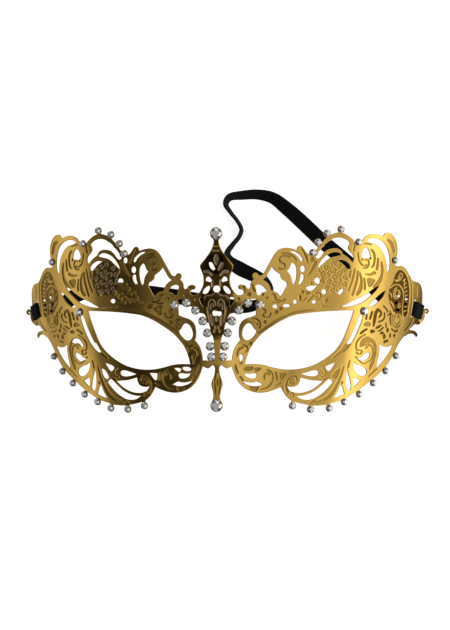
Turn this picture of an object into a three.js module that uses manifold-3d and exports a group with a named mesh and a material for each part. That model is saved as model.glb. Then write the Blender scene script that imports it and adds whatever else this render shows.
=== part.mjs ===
// Venetian masquerade mask: one etched metal sheet bent round the face, its glued rhinestones, and the
// elastic strap looped round the rails at the temples. The mask lies face up on a table at z = 0, with
// +X to the wearer's left, +Y to the forehead and +Z out of the face. Millimetres.
import * as THREE from "three";
import { mergeVertices } from "three/addons/utils/BufferGeometryUtils.js";
import Module from "manifold-3d";

const wasm = await Module();
wasm.setup();

// The sheet's bend: a cone whose radius grows towards the forehead. The bridge is the band across the eyes,
// set back, and the ridge stands up in it along the nose. The finial above and the tip below lift forwards,
// and the curls past the temples flare out along the table.
const SHEET_THICKNESS = 0.6;
const BEND_RADIUS = 108;
const RADIUS_GROWTH = 0.3;
const BRIDGE = { depth: 4.5, v: -13.5, halfWidth: 45, halfHeight: 13 };
const RIDGE = { height: 3, v: -17, halfWidth: 14, halfHeight: 9 };
const FINIAL = { lift: 3, from: 12, to: 40, halfWidth: 14 };
const TIP = { lift: 3, from: -24, to: -38, halfWidth: 14 };
const FLARE = { from: 109.6, radius: 2.4, v: 1 };
const CROWN_HEIGHT = 52.315;
const CENTRE_V = 0.3;

const OUTLINE_TOLERANCE = 0.2;
const LONGEST_EDGE = { nose: 7, sides: 12, noseHalfWidth: 10 };
const CURVE_STEPS = 6;

const STONE_GAP = 0.3;
const STONE_SIDES = 8;
const STONE_HEIGHT_RATIO = 0.76;
const PAD_MARGIN = 0.1;
const NECK_WIDTH = 1.7;

const STRAP_WIDTH = 7;
const STRAP_THICKNESS = 0.8;
const STRAP_CHAMFER = 0.2;
const STRAP_STEP = 4.5;
const STRAP_EXIT = { straight: 4, inward: 8.5, up: 1.9, height: 1.1 };
const RAIL = { u: 106.7, v: 4.2, halfDepth: 2.95, lean: 15 };
const RAIL_CLEARANCE = 0.3;

// Flat sheet, right half, in millimetres from the centre line (u) and up (v). Outlines are smooth closed
// curves through their points; a third value of 1 keeps a corner sharp.
const SHEET_OUTLINE = [
  [-0.6, 37.4, 1], [1.3, 37.0], [1.15, 35.4], [1.6, 33.4], [2.4, 31.5], [3.9, 29.2], [6.0, 26.6],
  [7.4, 24.9], [7.5, 23.8], [6.8, 22.0], [6.2, 20.3], [6.0, 18.4], [6.1, 16.4], [6.8, 14.4],
  [7.9, 12.6], [9.2, 11.5], [10.7, 11.2], [11.8, 11.8], [12.0, 12.9], [11.2, 13.7], [10.1, 13.9],
  [9.5, 14.7], [9.9, 15.6], [11.2, 16.0], [12.8, 15.5], [13.7, 14.3], [14.5, 14.1], [15.0, 15.0],
  [15.2, 16.6], [16.0, 17.8], [16.6, 18.4], [16.0, 19.4], [16.1, 20.6], [17.1, 21.3], [18.3, 21.0],
  [19.0, 20.1], [20.0, 20.0], [20.9, 20.9], [22.3, 23.3], [24.2, 26.6], [26.0, 29.6], [27.5, 31.3],
  [29.4, 32.3], [31.8, 32.6], [34.2, 32.2], [36.2, 31.6, 1], [36.6, 32.8], [37.6, 33.5], [38.9, 33.1],
  [40.0, 31.7], [41.2, 30.3], [42.6, 29.6], [44.2, 29.8], [45.4, 31.4], [46.9, 33.4], [48.9, 35.7],
  [51.2, 37.7], [54.2, 39.2], [57.3, 39.7], [60.0, 39.1], [62.6, 37.7], [64.8, 35.9], [66.6, 35.1],
  [68.2, 35.6], [70.2, 37.7], [72.4, 38.9], [75.5, 39.4], [78.4, 38.9], [80.4, 38.3, 1], [81.4, 39.5],
  [83.2, 40.1], [85.3, 39.6], [87.4, 38.0], [88.9, 35.6], [89.6, 32.8], [89.5, 29.8], [88.9, 27.0],
  [88.3, 25.3, 1], [90.2, 24.7], [92.5, 24.9], [95.0, 24.0], [97.2, 22.2], [99.2, 20.0], [101.0, 18.3],
  [102.8, 17.7], [104.9, 17.5], [107.1, 16.6], [108.8, 14.6], [109.8, 12.0], [110.4, 9.4],
  [110.7, 7.7, 1], [108.4, -0.8, 1], [106.4, -1.7], [104.0, -2.9], [101.3, -4.6, 1], [99.6, -6.6, 1], [96.6, -8.5],
  [94.0, -10.9], [91.8, -13.8], [88.9, -18.0], [84.9, -22.2], [80.2, -25.5], [75.2, -28.5],
  [70.2, -31.5], [65.6, -33.8], [61.5, -35.8], [58.0, -37.1], [54.5, -37.8], [51.5, -38.6],
  [48.0, -38.9], [44.0, -38.9], [40.0, -38.2], [36.5, -37.4], [33.6, -36.3], [31.5, -34.6],
  [29.9, -32.3], [28.8, -30.3, 1], [26.0, -31.5], [22.5, -32.5], [18.9, -32.8], [15.8, -32.2],
  [12.8, -30.9], [10.2, -28.7], [8.3, -25.8], [7.1, -22.8], [6.5, -20.9, 1], [5.5, -21.4],
  [4.3, -21.8], [3.1, -21.2], [2.0, -20.4], [1.2, -21.1], [1.1, -23.0], [1.5, -25.2], [2.3, -27.2],
  [2.6, -28.8], [2.2, -30.8], [1.7, -33.0], [1.6, -35.0], [1.9, -36.4], [-0.6, -36.6, 1],
];

// Windows etched through both halves.
const WINDOWS = {
  eye: [
    [12.4, -19.9, 1], [16.0, -19.8], [20.5, -20.2], [25.0, -21.4], [30.0, -22.3], [34.5, -22.4],
    [39.0, -21.9], [43.5, -20.8], [48.0, -18.9], [52.0, -16.5], [55.5, -13.8], [58.4, -10.3],
    [60.6, -6.2], [62.4, -2.2], [64.0, 1.8], [64.8, 4.3, 1], [60.0, 4.2], [54.0, 4.0], [47.0, 3.6],
    [41.0, 3.0], [35.5, 2.2], [30.0, 0.1], [25.0, -2.8], [20.5, -5.9], [17.2, -9.4], [15.2, -12.2],
    [13.9, -15.0], [13.0, -17.6],
  ],
  noseBay: [
    [5.9, 2.8, 1], [8.2, 3.4], [10.2, 4.6], [11.4, 6.8], [13.2, 8.8], [15.4, 9.4], [17.8, 9.4],
    [18.4, 7.6], [17.6, 5.0], [17.4, 2.2, 1], [15.0, 1.3], [12.7, 0.5], [10.9, -0.9], [9.9, -2.8],
    [9.6, -5.0], [9.7, -7.6], [10.1, -9.0], [9.2, -10.2], [7.8, -12.3], [6.9, -15.0], [6.6, -17.0],
    [6.4, -18.2, 1], [5.2, -18.1], [3.4, -18.3], [1.8, -18.0], [1.4, -16.2], [1.3, -13.8],
    [1.7, -12.0], [1.7, -9.8], [1.9, -8.2], [2.6, -6.4], [3.1, -4.4], [3.8, -1.8], [4.8, 0.8],
  ],
  browLoop: [
    [12.2, -8.6], [11.3, -7.0], [11.4, -4.9], [12.2, -3.0], [13.4, -1.7], [14.7, -1.5], [15.7, -2.5],
    [16.4, -3.8], [17.4, -4.8], [17.3, -5.8], [16.2, -7.4], [14.6, -8.8], [13.2, -9.1],
  ],
  lowerBarUpper: [
    [12.2, -24.1, 1], [14.5, -24.2], [17.2, -24.1], [17.7, -25.0], [16.9, -26.2], [14.8, -26.2],
    [13.0, -25.3],
  ],
  lowerBarLower: [
    [11.4, -27.3, 1], [13.6, -28.0], [16.2, -28.1], [18.0, -27.8], [20.4, -29.0, 1], [18.2, -29.7],
    [15.2, -29.5], [12.8, -28.6],
  ],
  voluteCrescent: [
    [31.8, -30.1, 1], [33.0, -31.8], [35.3, -32.8], [39.0, -32.9], [42.6, -32.0], [45.6, -30.5],
    [49.0, -27.9, 1], [46.6, -27.6], [43.6, -27.4], [40.8, -26.8], [38.2, -26.1, 1], [37.8, -27.8],
    [36.7, -29.5], [34.6, -30.3],
  ],
  rimCrescent: [
    [36.2, -34.4, 1], [38.4, -35.7], [41.2, -36.2], [44.2, -35.8], [47.4, -34.3], [50.4, -32.2],
    [53.0, -29.7], [54.2, -28.5, 1], [53.4, -27.4], [52.3, -27.0], [50.8, -27.9], [48.0, -30.2],
    [44.8, -32.4], [41.0, -33.9], [38.2, -34.4],
  ],
  underEyeSlot: [
    [38.6, -24.5, 1], [42.0, -23.5], [45.4, -22.9], [46.7, -23.5], [46.6, -24.8], [45.0, -25.5],
    [41.5, -25.3],
  ],
  underEyeLeaf: [
    [50.4, -21.6], [52.0, -20.6], [55.4, -19.6, 1], [54.1, -21.5], [52.4, -23.2], [51.2, -22.8],
  ],
  rimTriangle: [
    [58.5, -29.4, 1], [57.3, -31.8], [56.0, -34.0], [54.8, -35.6, 1], [57.6, -35.0], [60.4, -34.0, 1],
    [59.8, -31.8],
  ],
  cheekSlot: [
    [61.9, -22.4, 1], [62.6, -25.0], [63.5, -27.8], [64.1, -30.4], [63.6, -32.1], [62.4, -32.2],
    [61.5, -30.4], [61.2, -27.5], [61.4, -24.6],
  ],
  cheekNotch: [
    [65.5, -26.3, 1], [67.4, -27.1], [69.4, -28.0, 1], [67.6, -29.4], [65.9, -30.7, 1], [65.4, -28.5],
  ],
  shellFoot: [
    [65.0, -19.2, 1], [67.2, -20.5], [70.2, -21.4], [72.6, -22.8], [72.9, -24.6], [71.4, -25.9],
    [69.0, -25.6], [66.8, -24.3], [65.3, -22.0],
  ],
  shellEye: [
    [67.3, -17.8, 1], [69.4, -17.2], [71.2, -16.0], [73.2, -15.2], [74.5, -15.5], [74.1, -17.2],
    [72.6, -18.5], [70.2, -18.9],
  ],
  templeTriangle: [
    [80.4, -11.0, 1], [82.4, -12.3], [85.4, -12.7], [89.3, -11.9, 1], [88.0, -14.2], [85.6, -16.9],
    [82.6, -19.8], [79.0, -22.5, 1], [79.3, -20.0], [80.2, -17.0], [80.6, -14.0],
  ],
  eyeCornerSlit: [
    [68.4, 2.2], [66.9, -0.8], [64.9, -4.8], [62.9, -8.4], [61.2, -11.0, 1], [63.4, -11.0],
    [65.6, -8.0], [67.6, -4.4], [69.2, -0.8], [69.9, 2.0],
  ],
  browSlit: [
    [58.2, 5.9, 1], [62.0, 6.0], [66.0, 6.8], [70.0, 8.2], [74.0, 10.8], [77.2, 13.3], [79.0, 15.6, 1],
    [76.4, 14.6], [73.0, 12.5], [69.0, 10.5], [65.0, 8.9], [61.0, 7.1],
  ],
  templeSlit: [
    [72.8, 6.3, 1], [74.8, 5.9], [77.2, 7.0], [79.6, 8.7], [81.8, 10.9], [83.2, 13.5, 1],
    [80.9, 12.4], [78.2, 10.6], [75.3, 8.4],
  ],
  crownBay: [
    [24.6, 13.3], [23.8, 15.4], [22.5, 17.0], [20.8, 18.1, 1], [22.4, 19.6], [23.5, 21.6],
    [24.9, 23.8, 1], [25.9, 22.5], [27.4, 21.3], [28.6, 20.4], [28.9, 19.0], [30.0, 17.9],
    [31.4, 17.0], [31.7, 15.6], [30.8, 13.9], [29.8, 12.0], [28.7, 10.7, 1], [27.6, 12.1],
    [26.2, 12.9],
  ],
  smallArch: [
    [17.4, 15.3], [18.5, 15.9], [20.2, 15.6], [21.6, 14.3], [22.5, 13.0], [21.2, 12.6], [20.2, 12.1],
    [19.6, 11.3], [18.5, 11.2], [17.9, 12.4], [17.7, 14.0],
  ],
  crownLeaf: [
    [34.2, 25.7], [33.4, 24.4], [32.9, 23.1], [31.9, 22.1, 1], [33.0, 20.8], [33.8, 19.2],
    [34.2, 17.3], [34.7, 15.8, 1], [35.5, 17.2], [36.0, 19.4], [36.2, 21.8], [35.9, 23.9], [35.1, 25.2],
  ],
  crownDrop: [
    [38.4, 20.8], [39.5, 20.3], [39.5, 18.7], [38.7, 17.0], [37.6, 16.0], [37.3, 16.6], [37.9, 18.4],
    [38.1, 19.9],
  ],
  crownCrescent: [
    [33.2, 31.0, 1], [35.4, 30.7], [37.4, 29.5], [38.8, 27.9], [38.9, 26.4], [38.2, 26.7],
    [37.2, 28.2], [35.6, 29.6], [34.2, 30.3],
  ],
  archCrescent: [
    [46.2, 23.2, 1], [47.2, 25.4], [49.0, 27.8], [51.2, 29.6], [54.0, 30.6], [56.6, 30.5],
    [58.0, 29.4, 1], [55.8, 28.9], [53.2, 28.3], [51.0, 27.2], [48.9, 25.4],
  ],
  archBay: [
    [45.4, 28.6], [46.4, 27.7], [47.6, 28.3], [49.2, 30.3], [51.3, 31.8], [54.0, 32.4], [56.4, 32.2],
    [58.0, 31.2], [58.9, 29.8], [60.4, 29.0], [62.2, 27.7], [63.9, 26.0, 1], [64.4, 27.6],
    [64.1, 29.2], [62.5, 30.9], [61.4, 32.2], [61.5, 33.6], [62.2, 34.9], [61.0, 36.1], [59.2, 36.9],
    [57.0, 37.3], [54.4, 36.9], [51.9, 35.7], [49.5, 33.8], [47.2, 31.2],
  ],
  discCrescent: [
    [56.0, 27.0, 1], [58.4, 27.2], [60.8, 26.3], [62.6, 24.6], [62.6, 23.0, 1], [61.2, 23.1],
    [60.0, 24.3], [58.4, 25.6],
  ],
  browBean: [
    [44.6, 18.1], [45.6, 19.0], [47.0, 18.8], [47.4, 17.4], [46.7, 16.3], [45.4, 16.7],
  ],
  wingCrescent: [
    [71.2, 36.2, 1], [73.8, 37.2], [76.8, 37.1], [79.6, 36.2], [82.2, 34.2], [83.9, 31.4],
    [84.8, 28.2], [85.0, 24.8], [84.2, 22.0], [83.5, 22.4], [83.1, 25.2], [82.2, 28.4], [80.6, 31.2],
    [78.4, 33.4], [75.8, 34.8], [73.2, 35.2],
  ],
  wingEye: [
    [69.2, 31.1], [70.2, 32.7], [71.6, 32.7], [72.8, 31.0], [73.3, 28.4], [71.6, 28.2], [69.5, 28.2],
    [68.7, 29.4],
  ],
  pendantShoulder: [
    [2.3, 17.6], [2.8, 18.9], [3.7, 19.6], [4.6, 18.9], [4.8, 17.8], [3.8, 17.5], [2.9, 17.2],
  ],
  pendantLeaf: [
    [3.1, 15.0], [3.3, 13.7], [4.2, 12.4], [5.5, 11.8], [6.3, 12.3], [5.8, 13.6], [4.7, 14.8],
    [3.6, 15.4],
  ],
  pendantSide: [
    [6.1, 10.3], [7.5, 10.1], [7.7, 9.0], [7.0, 7.3], [6.0, 6.1], [5.8, 7.8], [5.9, 9.3],
  ],
  strapSlot: [
    [103.5, 9.5, 1], [105.0, 9.1, 1], [102.7, 0.8, 1], [101.3, 1.2, 1],
  ],
};

// Round and oval windows: centre u, v, then half width and half height.
const OVALS = { centre: [[0, 14.0, 1.55, 1.55]] };
OVALS.both = [
  [39.1, 23.0, 1.05, 1.5], [91.8, 10.8, 0.95, 0.6], [90.6, 7.6, 1.2, 0.9], [91.8, 4.4, 1.4, 0.65],
  [97.4, 9.4, 1.0, 0.5], [97.3, 7.2, 1.3, 0.6], [97.1, 5.0, 1.2, 0.5], [97.8, 2.9, 0.8, 0.45],
];
OVALS.left = [[43.3, 27.3, 0.95, 1.3], [50.3, 8.8, 1.2, 1.0]];
OVALS.right = [
  [49.4, 12.7, 1.15, 1.15], [44.5, 8.1, 1.05, 0.75], [35.5, 8.2, 0.8, 0.95],
  [31.5, 6.4, 1.6, 0.75], [26.3, 6.1, 1.05, 0.85],
];

// Windows that the etch opened on one half only; the other half is just half etched there.
const SIDE_WINDOWS = {
  left: {
    lobeInner: [
      [11.9, -22.3], [12.7, -21.4], [14.5, -21.1], [16.0, -21.5], [15.2, -22.6], [13.2, -23.0],
    ],
    lobeOuter: [
      [16.6, -22.2], [17.6, -21.7], [19.6, -21.8], [18.6, -22.8], [17.4, -23.4],
    ],
    trapezoid: [
      [27.9, -24.1, 1], [31.6, -24.0, 1], [30.3, -25.7], [29.0, -27.1], [28.1, -26.9, 1],
    ],
    underEyeDrop: [
      [57.5, -22.3], [57.2, -24.2], [56.1, -26.2], [54.7, -26.9], [53.6, -26.3], [54.4, -24.5],
      [56.0, -22.8],
    ],
    slitTail: [
      [60.7, -10.4, 1], [63.6, -10.9, 1], [61.8, -12.9], [59.6, -14.5], [58.1, -14.7], [59.0, -12.8],
    ],
    shellArc: [
      [69.2, -12.3], [69.7, -10.6], [71.1, -9.2], [73.3, -8.4], [75.5, -8.8], [76.9, -10.1, 1],
      [74.8, -10.7], [72.7, -10.5], [71.0, -11.2], [70.0, -12.3],
    ],
    pendantSlot: [
      [1.0, 22.6], [2.0, 22.7], [3.2, 24.6], [3.3, 25.9], [2.2, 26.0], [1.2, 24.4], [0.7, 23.2],
    ],
  },
  right: {
    medallionDrop: [
      [10.5, -15.4], [11.5, -16.4], [11.2, -17.8], [10.5, -18.8], [10.0, -17.4], [10.0, -16.0],
    ],
    browLeaf: [
      [40.8, 14.6], [42.6, 15.3], [44.6, 15.4], [46.2, 15.8, 1], [45.2, 14.6], [44.0, 13.5],
      [42.6, 13.1], [41.4, 13.6],
    ],
    discLeaf: [
      [56.4, 12.0], [57.2, 13.4], [59.2, 14.0], [58.9, 12.6], [57.6, 11.5],
    ],
  },
};

// The trefoil window of the pendant lies across the centre line.
const TREFOIL = [
  [0, 5.0, 1], [1.0, 4.5], [1.9, 3.8], [2.0, 2.8], [1.4, 2.0], [0.6, 1.9], [0, 2.2, 1], [-0.6, 1.9],
  [-1.4, 2.0], [-2.0, 2.8], [-1.9, 3.8], [-1.0, 4.5],
];

// Wires that stand out from the sheet's edge: centre line and width.
const WIRES = {
  upperCurl: [
    [106.8, -1.7, 1.7], [109.2, -1.6, 1.6], [110.8, -0.4, 1.5], [111.6, 1.1, 1.3], [111.8, 2.9, 1.2],
    [112.3, 4.4, 1.1], [113.3, 4.7, 1.1], [113.8, 3.8, 1.1], [113.1, 3.0, 1.1],
  ],
  lowerCurl: [
    [97.8, -6.7, 2.4], [100.6, -5.9, 2.0], [103.5, -5.9, 1.7], [106.0, -6.4, 1.8], [107.7, -7.4, 1.9],
  ],
};

// Rhinestones of one half: name, centre u, v, radius, and the point of the rim where the tab starts.
const SMALL = 1.65;
const MIDDLE = 1.95;
const LARGE = 2.75;
const STONES = [
  ["nose_1", 2.6, -16.6, MIDDLE, 0.8, -17.2],
  ["nose_2", 3.3, -11.8, MIDDLE, 0.8, -11.4],
  ["nose_3", 4.6, -5.8, MIDDLE, 2.0, -5.4],
  ["nose_4", 6.6, -0.4, MIDDLE, 4.0, -0.2],
  ["nose_5", 9.8, 4.5, MIDDLE, 8.2, 6.6],
  ["nose_6", 13.8, 7.8, MIDDLE, 13.2, 10.2],
  ["nose_7", 19.4, 6.9, MIDDLE, 21.4, 7.0],
  ["arch_1", 43.9, 30.4, SMALL, 45.6, 29.8],
  ["arch_2", 46.4, 35.0, SMALL, 48.6, 33.8],
  ["arch_3", 50.8, 39.2, SMALL, 52.4, 36.8],
  ["arch_4", 57.7, 41.1, SMALL, 57.4, 38.4],
  ["arch_5", 66.9, 35.4, SMALL, 66.4, 34.0],
  ["arch_6", 88.1, 27.4, SMALL, 87.2, 26.0],
  ["eye_corner", 70.5, 3.9, 2.0, 71.6, 5.2],
  ["cheek_1", 34.3, -38.8, SMALL, 34.8, -36.0],
  ["cheek_2", 43.0, -40.5, SMALL, 43.4, -38.0],
  ["cheek_3", 52.5, -40.2, SMALL, 52.0, -37.6],
  ["cheek_4", 60.5, -37.5, SMALL, 59.8, -35.6],
  ["cheek_5", 68.9, -34.2, SMALL, 67.4, -32.0],
  ["cheek_6", 77.2, -29.2, SMALL, 75.6, -27.4],
  ["cheek_7", 85.0, -23.8, SMALL, 83.0, -22.0],
  ["cheek_8", 91.8, -16.9, SMALL, 89.4, -16.0],
];
const CENTRE_STONES = [["crest", 0, 38.9, LARGE], ["tip", 0, -38.4, LARGE]];

// The strap's route from the left rail to the right one: x, y, the height of its lowest edge, and how
// far its width leans from flat, in degrees.
const STRAP_ROUTE = [
  [-73.0, 11.0, 0.15, 0], [-67.0, 13.4, 0.15, 0], [-57.0, 14.4, 0.15, 0], [-46.0, 13.8, 0.15, 0],
  [-37.0, 12.7, 0.15, 0], [-28.0, 11.5, 0.15, 0], [-20.0, 10.2, 0.15, 0], [-12.0, 8.8, 0.15, 5],
  [-4.6, 7.4, 0.15, 10], [4.0, 6.1, 0.15, 20], [11.5, 6.1, 0.15, 38], [18.0, 8.6, 0.15, 62],
  [21.4, 13.4, 0.15, 75], [19.0, 18.0, 0.15, 62], [12.4, 21.2, 0.15, 24], [6.6, 24.1, 0.15, 14],
  [1.9, 27.5, 0.15, 46], [0.9, 31.2, 0.15, 74], [3.5, 35.3, 0.15, 80], [6.5, 38.9, 0.15, 82],
  [7.7, 42.4, 0.15, 82], [6.0, 46.2, 0.15, 82], [2.6, 50.6, 0.15, 80], [0.3, 54.6, 0.15, 76],
  [2.0, 57.7, 0.15, 68], [8.0, 58.7, 0.15, 58], [15.4, 59.0, 0.15, 52], [22.4, 57.4, 0.15, 40],
  [28.6, 52.8, 0.15, 22], [36.0, 46.2, 0.15, 8], [45.0, 37.6, 0.15, 0], [56.0, 28.2, 0.15, 0],
  [66.0, 19.4, 0.15, 0], [72.5, 12.6, 0.15, 0],
];

const FINISHES = {
  sheet: { color: 0xc9a24a, roughness: 0.22, metalness: 1 },
  stone: { color: 0xe6e8ec, roughness: 0.05, metalness: 0.1 },
  strap: { color: 0x101010, roughness: 0.85, metalness: 0 },
};

// ---- flat curves -------------------------------------------------------------------------------------

function samplesThrough(points, closed) {
  const curve = new THREE.CatmullRomCurve3(
    points.map((p) => new THREE.Vector3(p[0], p[1], p[2] ?? 0)), closed, "centripetal",
  );
  const spans = closed ? points.length : points.length - 1;
  return curve.getPoints(spans * CURVE_STEPS);
}

// Drops the samples that lie within the tolerance of the line between their neighbours.
function thinned(samples) {
  const first = samples[0];
  const last = samples[samples.length - 1];
  const chord = new THREE.Line3(first, last);
  const foot = new THREE.Vector3();
  let worst = 0;
  let split = 0;
  for (let i = 1; i < samples.length - 1; i++) {
    const away = chord.closestPointToPoint(samples[i], true, foot).distanceTo(samples[i]);
    if (away > worst) {
      worst = away;
      split = i;
    }
  }
  if (worst < OUTLINE_TOLERANCE) return [first, last];
  return [...thinned(samples.slice(0, split + 1)).slice(0, -1), ...thinned(samples.slice(split))];
}

// The outline's points in order round the loop, with the last one left out because it is the first.
function loopThrough(points) {
  const flat = points.map(([u, v]) => [u, v, 0]);
  const start = points.findIndex((p) => p[2] === 1);
  if (start < 0) {
    const ring = samplesThrough(flat, true);
    const half = Math.floor(ring.length / 2);
    return [...thinned(ring.slice(0, half + 1)).slice(0, -1), ...thinned(ring.slice(half)).slice(0, -1)];
  }
  const loop = [];
  let run = [flat[start]];
  for (let i = 1; i <= points.length; i++) {
    const at = (start + i) % points.length;
    run.push(flat[at]);
    if (points[at][2] !== 1) continue;
    const samples = run.length > 2 ? samplesThrough(run, false) : run.map((p) => new THREE.Vector3(...p));
    loop.push(...thinned(samples).slice(0, -1));
    run = [flat[at]];
  }
  return loop;
}

function ovalLoop([u, v, halfWidth, halfHeight]) {
  const sides = Math.round(6 + 2.4 * (halfWidth + halfHeight) / 2);
  return Array.from({ length: sides }, (_, i) => {
    const turn = (2 * Math.PI * i) / sides;
    return new THREE.Vector3(u + halfWidth * Math.cos(turn), v + halfHeight * Math.sin(turn), 0);
  });
}

// A wire of changing width with round ends; each sample's z holds the width there.
function wireLoop(points) {
  const line = thinned(samplesThrough(points, false));
  const left = [];
  const right = [];
  const heading = (i) => {
    const a = line[Math.max(i - 1, 0)];
    const b = line[Math.min(i + 1, line.length - 1)];
    return Math.atan2(b.y - a.y, b.x - a.x);
  };
  line.forEach((p, i) => {
    const across = heading(i) + Math.PI / 2;
    const reach = p.z / 2;
    left.push(new THREE.Vector3(p.x + reach * Math.cos(across), p.y + reach * Math.sin(across), 0));
    right.unshift(new THREE.Vector3(p.x - reach * Math.cos(across), p.y - reach * Math.sin(across), 0));
  });
  const cap = (p, angle) => [1, 2].map((k) => {
    const turn = angle + Math.PI / 2 - (k * Math.PI) / 3;
    return new THREE.Vector3(p.x + (p.z / 2) * Math.cos(turn), p.y + (p.z / 2) * Math.sin(turn), 0);
  });
  const end = line.length - 1;
  return [...left, ...cap(line[end], heading(end)), ...right, ...cap(line[0], heading(0) + Math.PI)];
}

// ---- flat solids -------------------------------------------------------------------------------------

function solidFrom(geometry) {
  geometry.deleteAttribute("normal");
  geometry.deleteAttribute("uv");
  const merged = mergeVertices(geometry, 1e-4);
  return new wasm.Manifold(new wasm.Mesh({
    numProp: 3,
    vertProperties: merged.attributes.position.array,
    triVerts: new Uint32Array(merged.index.array),
  }));
}

function prism(loop, side, depth) {
  const shape = new THREE.Shape(loop.map((p) => new THREE.Vector2(side * p.x, p.y)));
  const geometry = new THREE.ExtrudeGeometry(shape, { depth, bevelEnabled: false });
  return solidFrom(geometry.translate(0, 0, -depth / 2));
}

const metal = (loop, side) => prism(loop, side, SHEET_THICKNESS);
const cutter = (loop, side) => prism(loop, side, 4 * SHEET_THICKNESS);
const padLoop = (u, v, radius) => ovalLoop([u, v, radius + PAD_MARGIN, radius + PAD_MARGIN]);

function halfSheet(side) {
  const name = side > 0 ? "right" : "left";
  const windows = [...Object.values(WINDOWS), ...Object.values(SIDE_WINDOWS[name])].map(loopThrough);
  const ovals = [...OVALS.both, ...OVALS[name]].map(ovalLoop);
  const cuts = [...windows, ...ovals].map((loop) => cutter(loop, side));
  const plate = metal(loopThrough(SHEET_OUTLINE), side).subtract(wasm.Manifold.union(cuts));
  const wires = Object.values(WIRES).map((points) => metal(wireLoop(points), side));
  const tabs = STONES.flatMap(([, u, v, radius, rootU, rootV]) => [
    metal(padLoop(u, v, radius), side),
    metal(wireLoop([[rootU, rootV, NECK_WIDTH], [u, v, NECK_WIDTH]]), side),
  ]);
  return wasm.Manifold.union([plate, ...wires, ...tabs]);
}

function flatSheet() {
  const pads = CENTRE_STONES.map(([, u, v, radius]) => metal(padLoop(u, v, radius), 1));
  const cuts = [...OVALS.centre.map(ovalLoop), loopThrough(TREFOIL)].map((loop) => cutter(loop, 1));
  return wasm.Manifold.union([halfSheet(1), halfSheet(-1), ...pads]).subtract(wasm.Manifold.union(cuts));
}

// ---- bending -----------------------------------------------------------------------------------------

const bell = (x, halfWidth) => Math.exp(-((x / halfWidth) ** 2));

// How far out and back a point lies that is past the start of the flare, which turns until it is level.
function flareOffset(past, heading) {
  const turned = Math.min(past / FLARE.radius, heading);
  const end = heading - turned;
  return {
    aside: FLARE.radius * (Math.sin(heading) - Math.sin(end)) + past - turned * FLARE.radius,
    back: FLARE.radius * (Math.cos(end) - Math.cos(heading)),
  };
}

function bendPoint(u, v) {
  const past = Math.max(Math.abs(u) - FLARE.from, 0);
  const levelled = THREE.MathUtils.lerp(v, FLARE.v, Math.min(past / FLARE.radius, 1));
  const radius = BEND_RADIUS + RADIUS_GROWTH * levelled;
  const heading = Math.min(Math.abs(u), FLARE.from) / radius;
  const flare = flareOffset(past, heading);
  const sunk = BRIDGE.depth * bell(u, BRIDGE.halfWidth) * bell(v - BRIDGE.v, BRIDGE.halfHeight);
  const raised = RIDGE.height * bell(u, RIDGE.halfWidth) * bell(v - RIDGE.v, RIDGE.halfHeight);
  const setBack = sunk - raised;
  const rise = [FINIAL, TIP].reduce((sum, end) => {
    const along = THREE.MathUtils.clamp((v - end.from) / (end.to - end.from), 0, 1);
    return sum + end.lift * bell(u, end.halfWidth) * along;
  }, 0);
  const depth = radius * (1 - Math.cos(heading)) + flare.back + setBack - rise;
  const aside = radius * Math.sin(heading) + flare.aside;
  return new THREE.Vector3(Math.sign(u) * aside, v - CENTRE_V, CROWN_HEIGHT - depth);
}

// The bent sheet's frame at a flat point: along u, up the sheet, and out of the face.
function bendFrame(u, v) {
  const reach = 0.05;
  const along = bendPoint(u + reach, v).sub(bendPoint(u - reach, v)).normalize();
  const up = bendPoint(u, v + reach).sub(bendPoint(u, v - reach)).normalize();
  const out = new THREE.Vector3().crossVectors(along, up).normalize();
  return { at: bendPoint(u, v), along, up: new THREE.Vector3().crossVectors(out, along), out };
}

// Halves every edge that runs too far across the bend, so that flat triangles can follow it.
function splitLongEdges(points, triangles) {
  const middles = new Map();
  const long = (a, b) => {
    const across = points[a][0] - points[b][0];
    const along = points[a][1] - points[b][1];
    const atNose = Math.abs(points[a][0] + points[b][0]) / 2 < LONGEST_EDGE.noseHalfWidth;
    if (atNose) return Math.hypot(across, along) > LONGEST_EDGE.nose;
    return Math.hypot(across, along / 3) > LONGEST_EDGE.sides;
  };
  const middle = (a, b) => {
    const key = a < b ? `${a}_${b}` : `${b}_${a}`;
    if (!middles.has(key)) {
      points.push(points[a].map((value, k) => (value + points[b][k]) / 2));
      middles.set(key, points.length - 1);
    }
    return middles.get(key);
  };
  return triangles.flatMap(([a, b, c]) => {
    const splits = [long(a, b), long(b, c), long(c, a)];
    const count = splits.filter(Boolean).length;
    if (count === 0) return [[a, b, c]];
    while (count < 3 && !(splits[0] && !splits[2])) {
      [a, b, c] = [b, c, a];
      splits.push(splits.shift());
    }
    const ab = middle(a, b);
    if (count === 1) return [[a, ab, c], [ab, b, c]];
    const bc = middle(b, c);
    if (count === 2) return [[a, ab, c], [ab, b, bc], [ab, bc, c]];
    const ca = middle(c, a);
    return [[a, ab, ca], [ab, b, bc], [bc, c, ca], [ab, bc, ca]];
  });
}

function bentGeometry(flat) {
  const mesh = flat.getMesh();
  const points = [];
  for (let i = 0; i < mesh.numVert; i++) {
    const at = i * mesh.numProp;
    points.push(Array.from(mesh.vertProperties.subarray(at, at + 3)));
  }
  let triangles = [];
  for (let i = 0; i < mesh.triVerts.length; i += 3) {
    triangles.push(Array.from(mesh.triVerts.subarray(i, i + 3)));
  }
  for (let before = 0; before !== triangles.length;) {
    before = triangles.length;
    triangles = splitLongEdges(points, triangles);
  }
  const position = points.flatMap(([u, v, height]) => {
    const { at, out } = bendFrame(u, v);
    return at.addScaledVector(out, height).toArray();
  });
  const geometry = new THREE.BufferGeometry();
  geometry.setAttribute("position", new THREE.Float32BufferAttribute(position, 3));
  geometry.setIndex(triangles.flat());
  geometry.computeVertexNormals();
  return geometry;
}

// ---- rhinestones -------------------------------------------------------------------------------------

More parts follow.
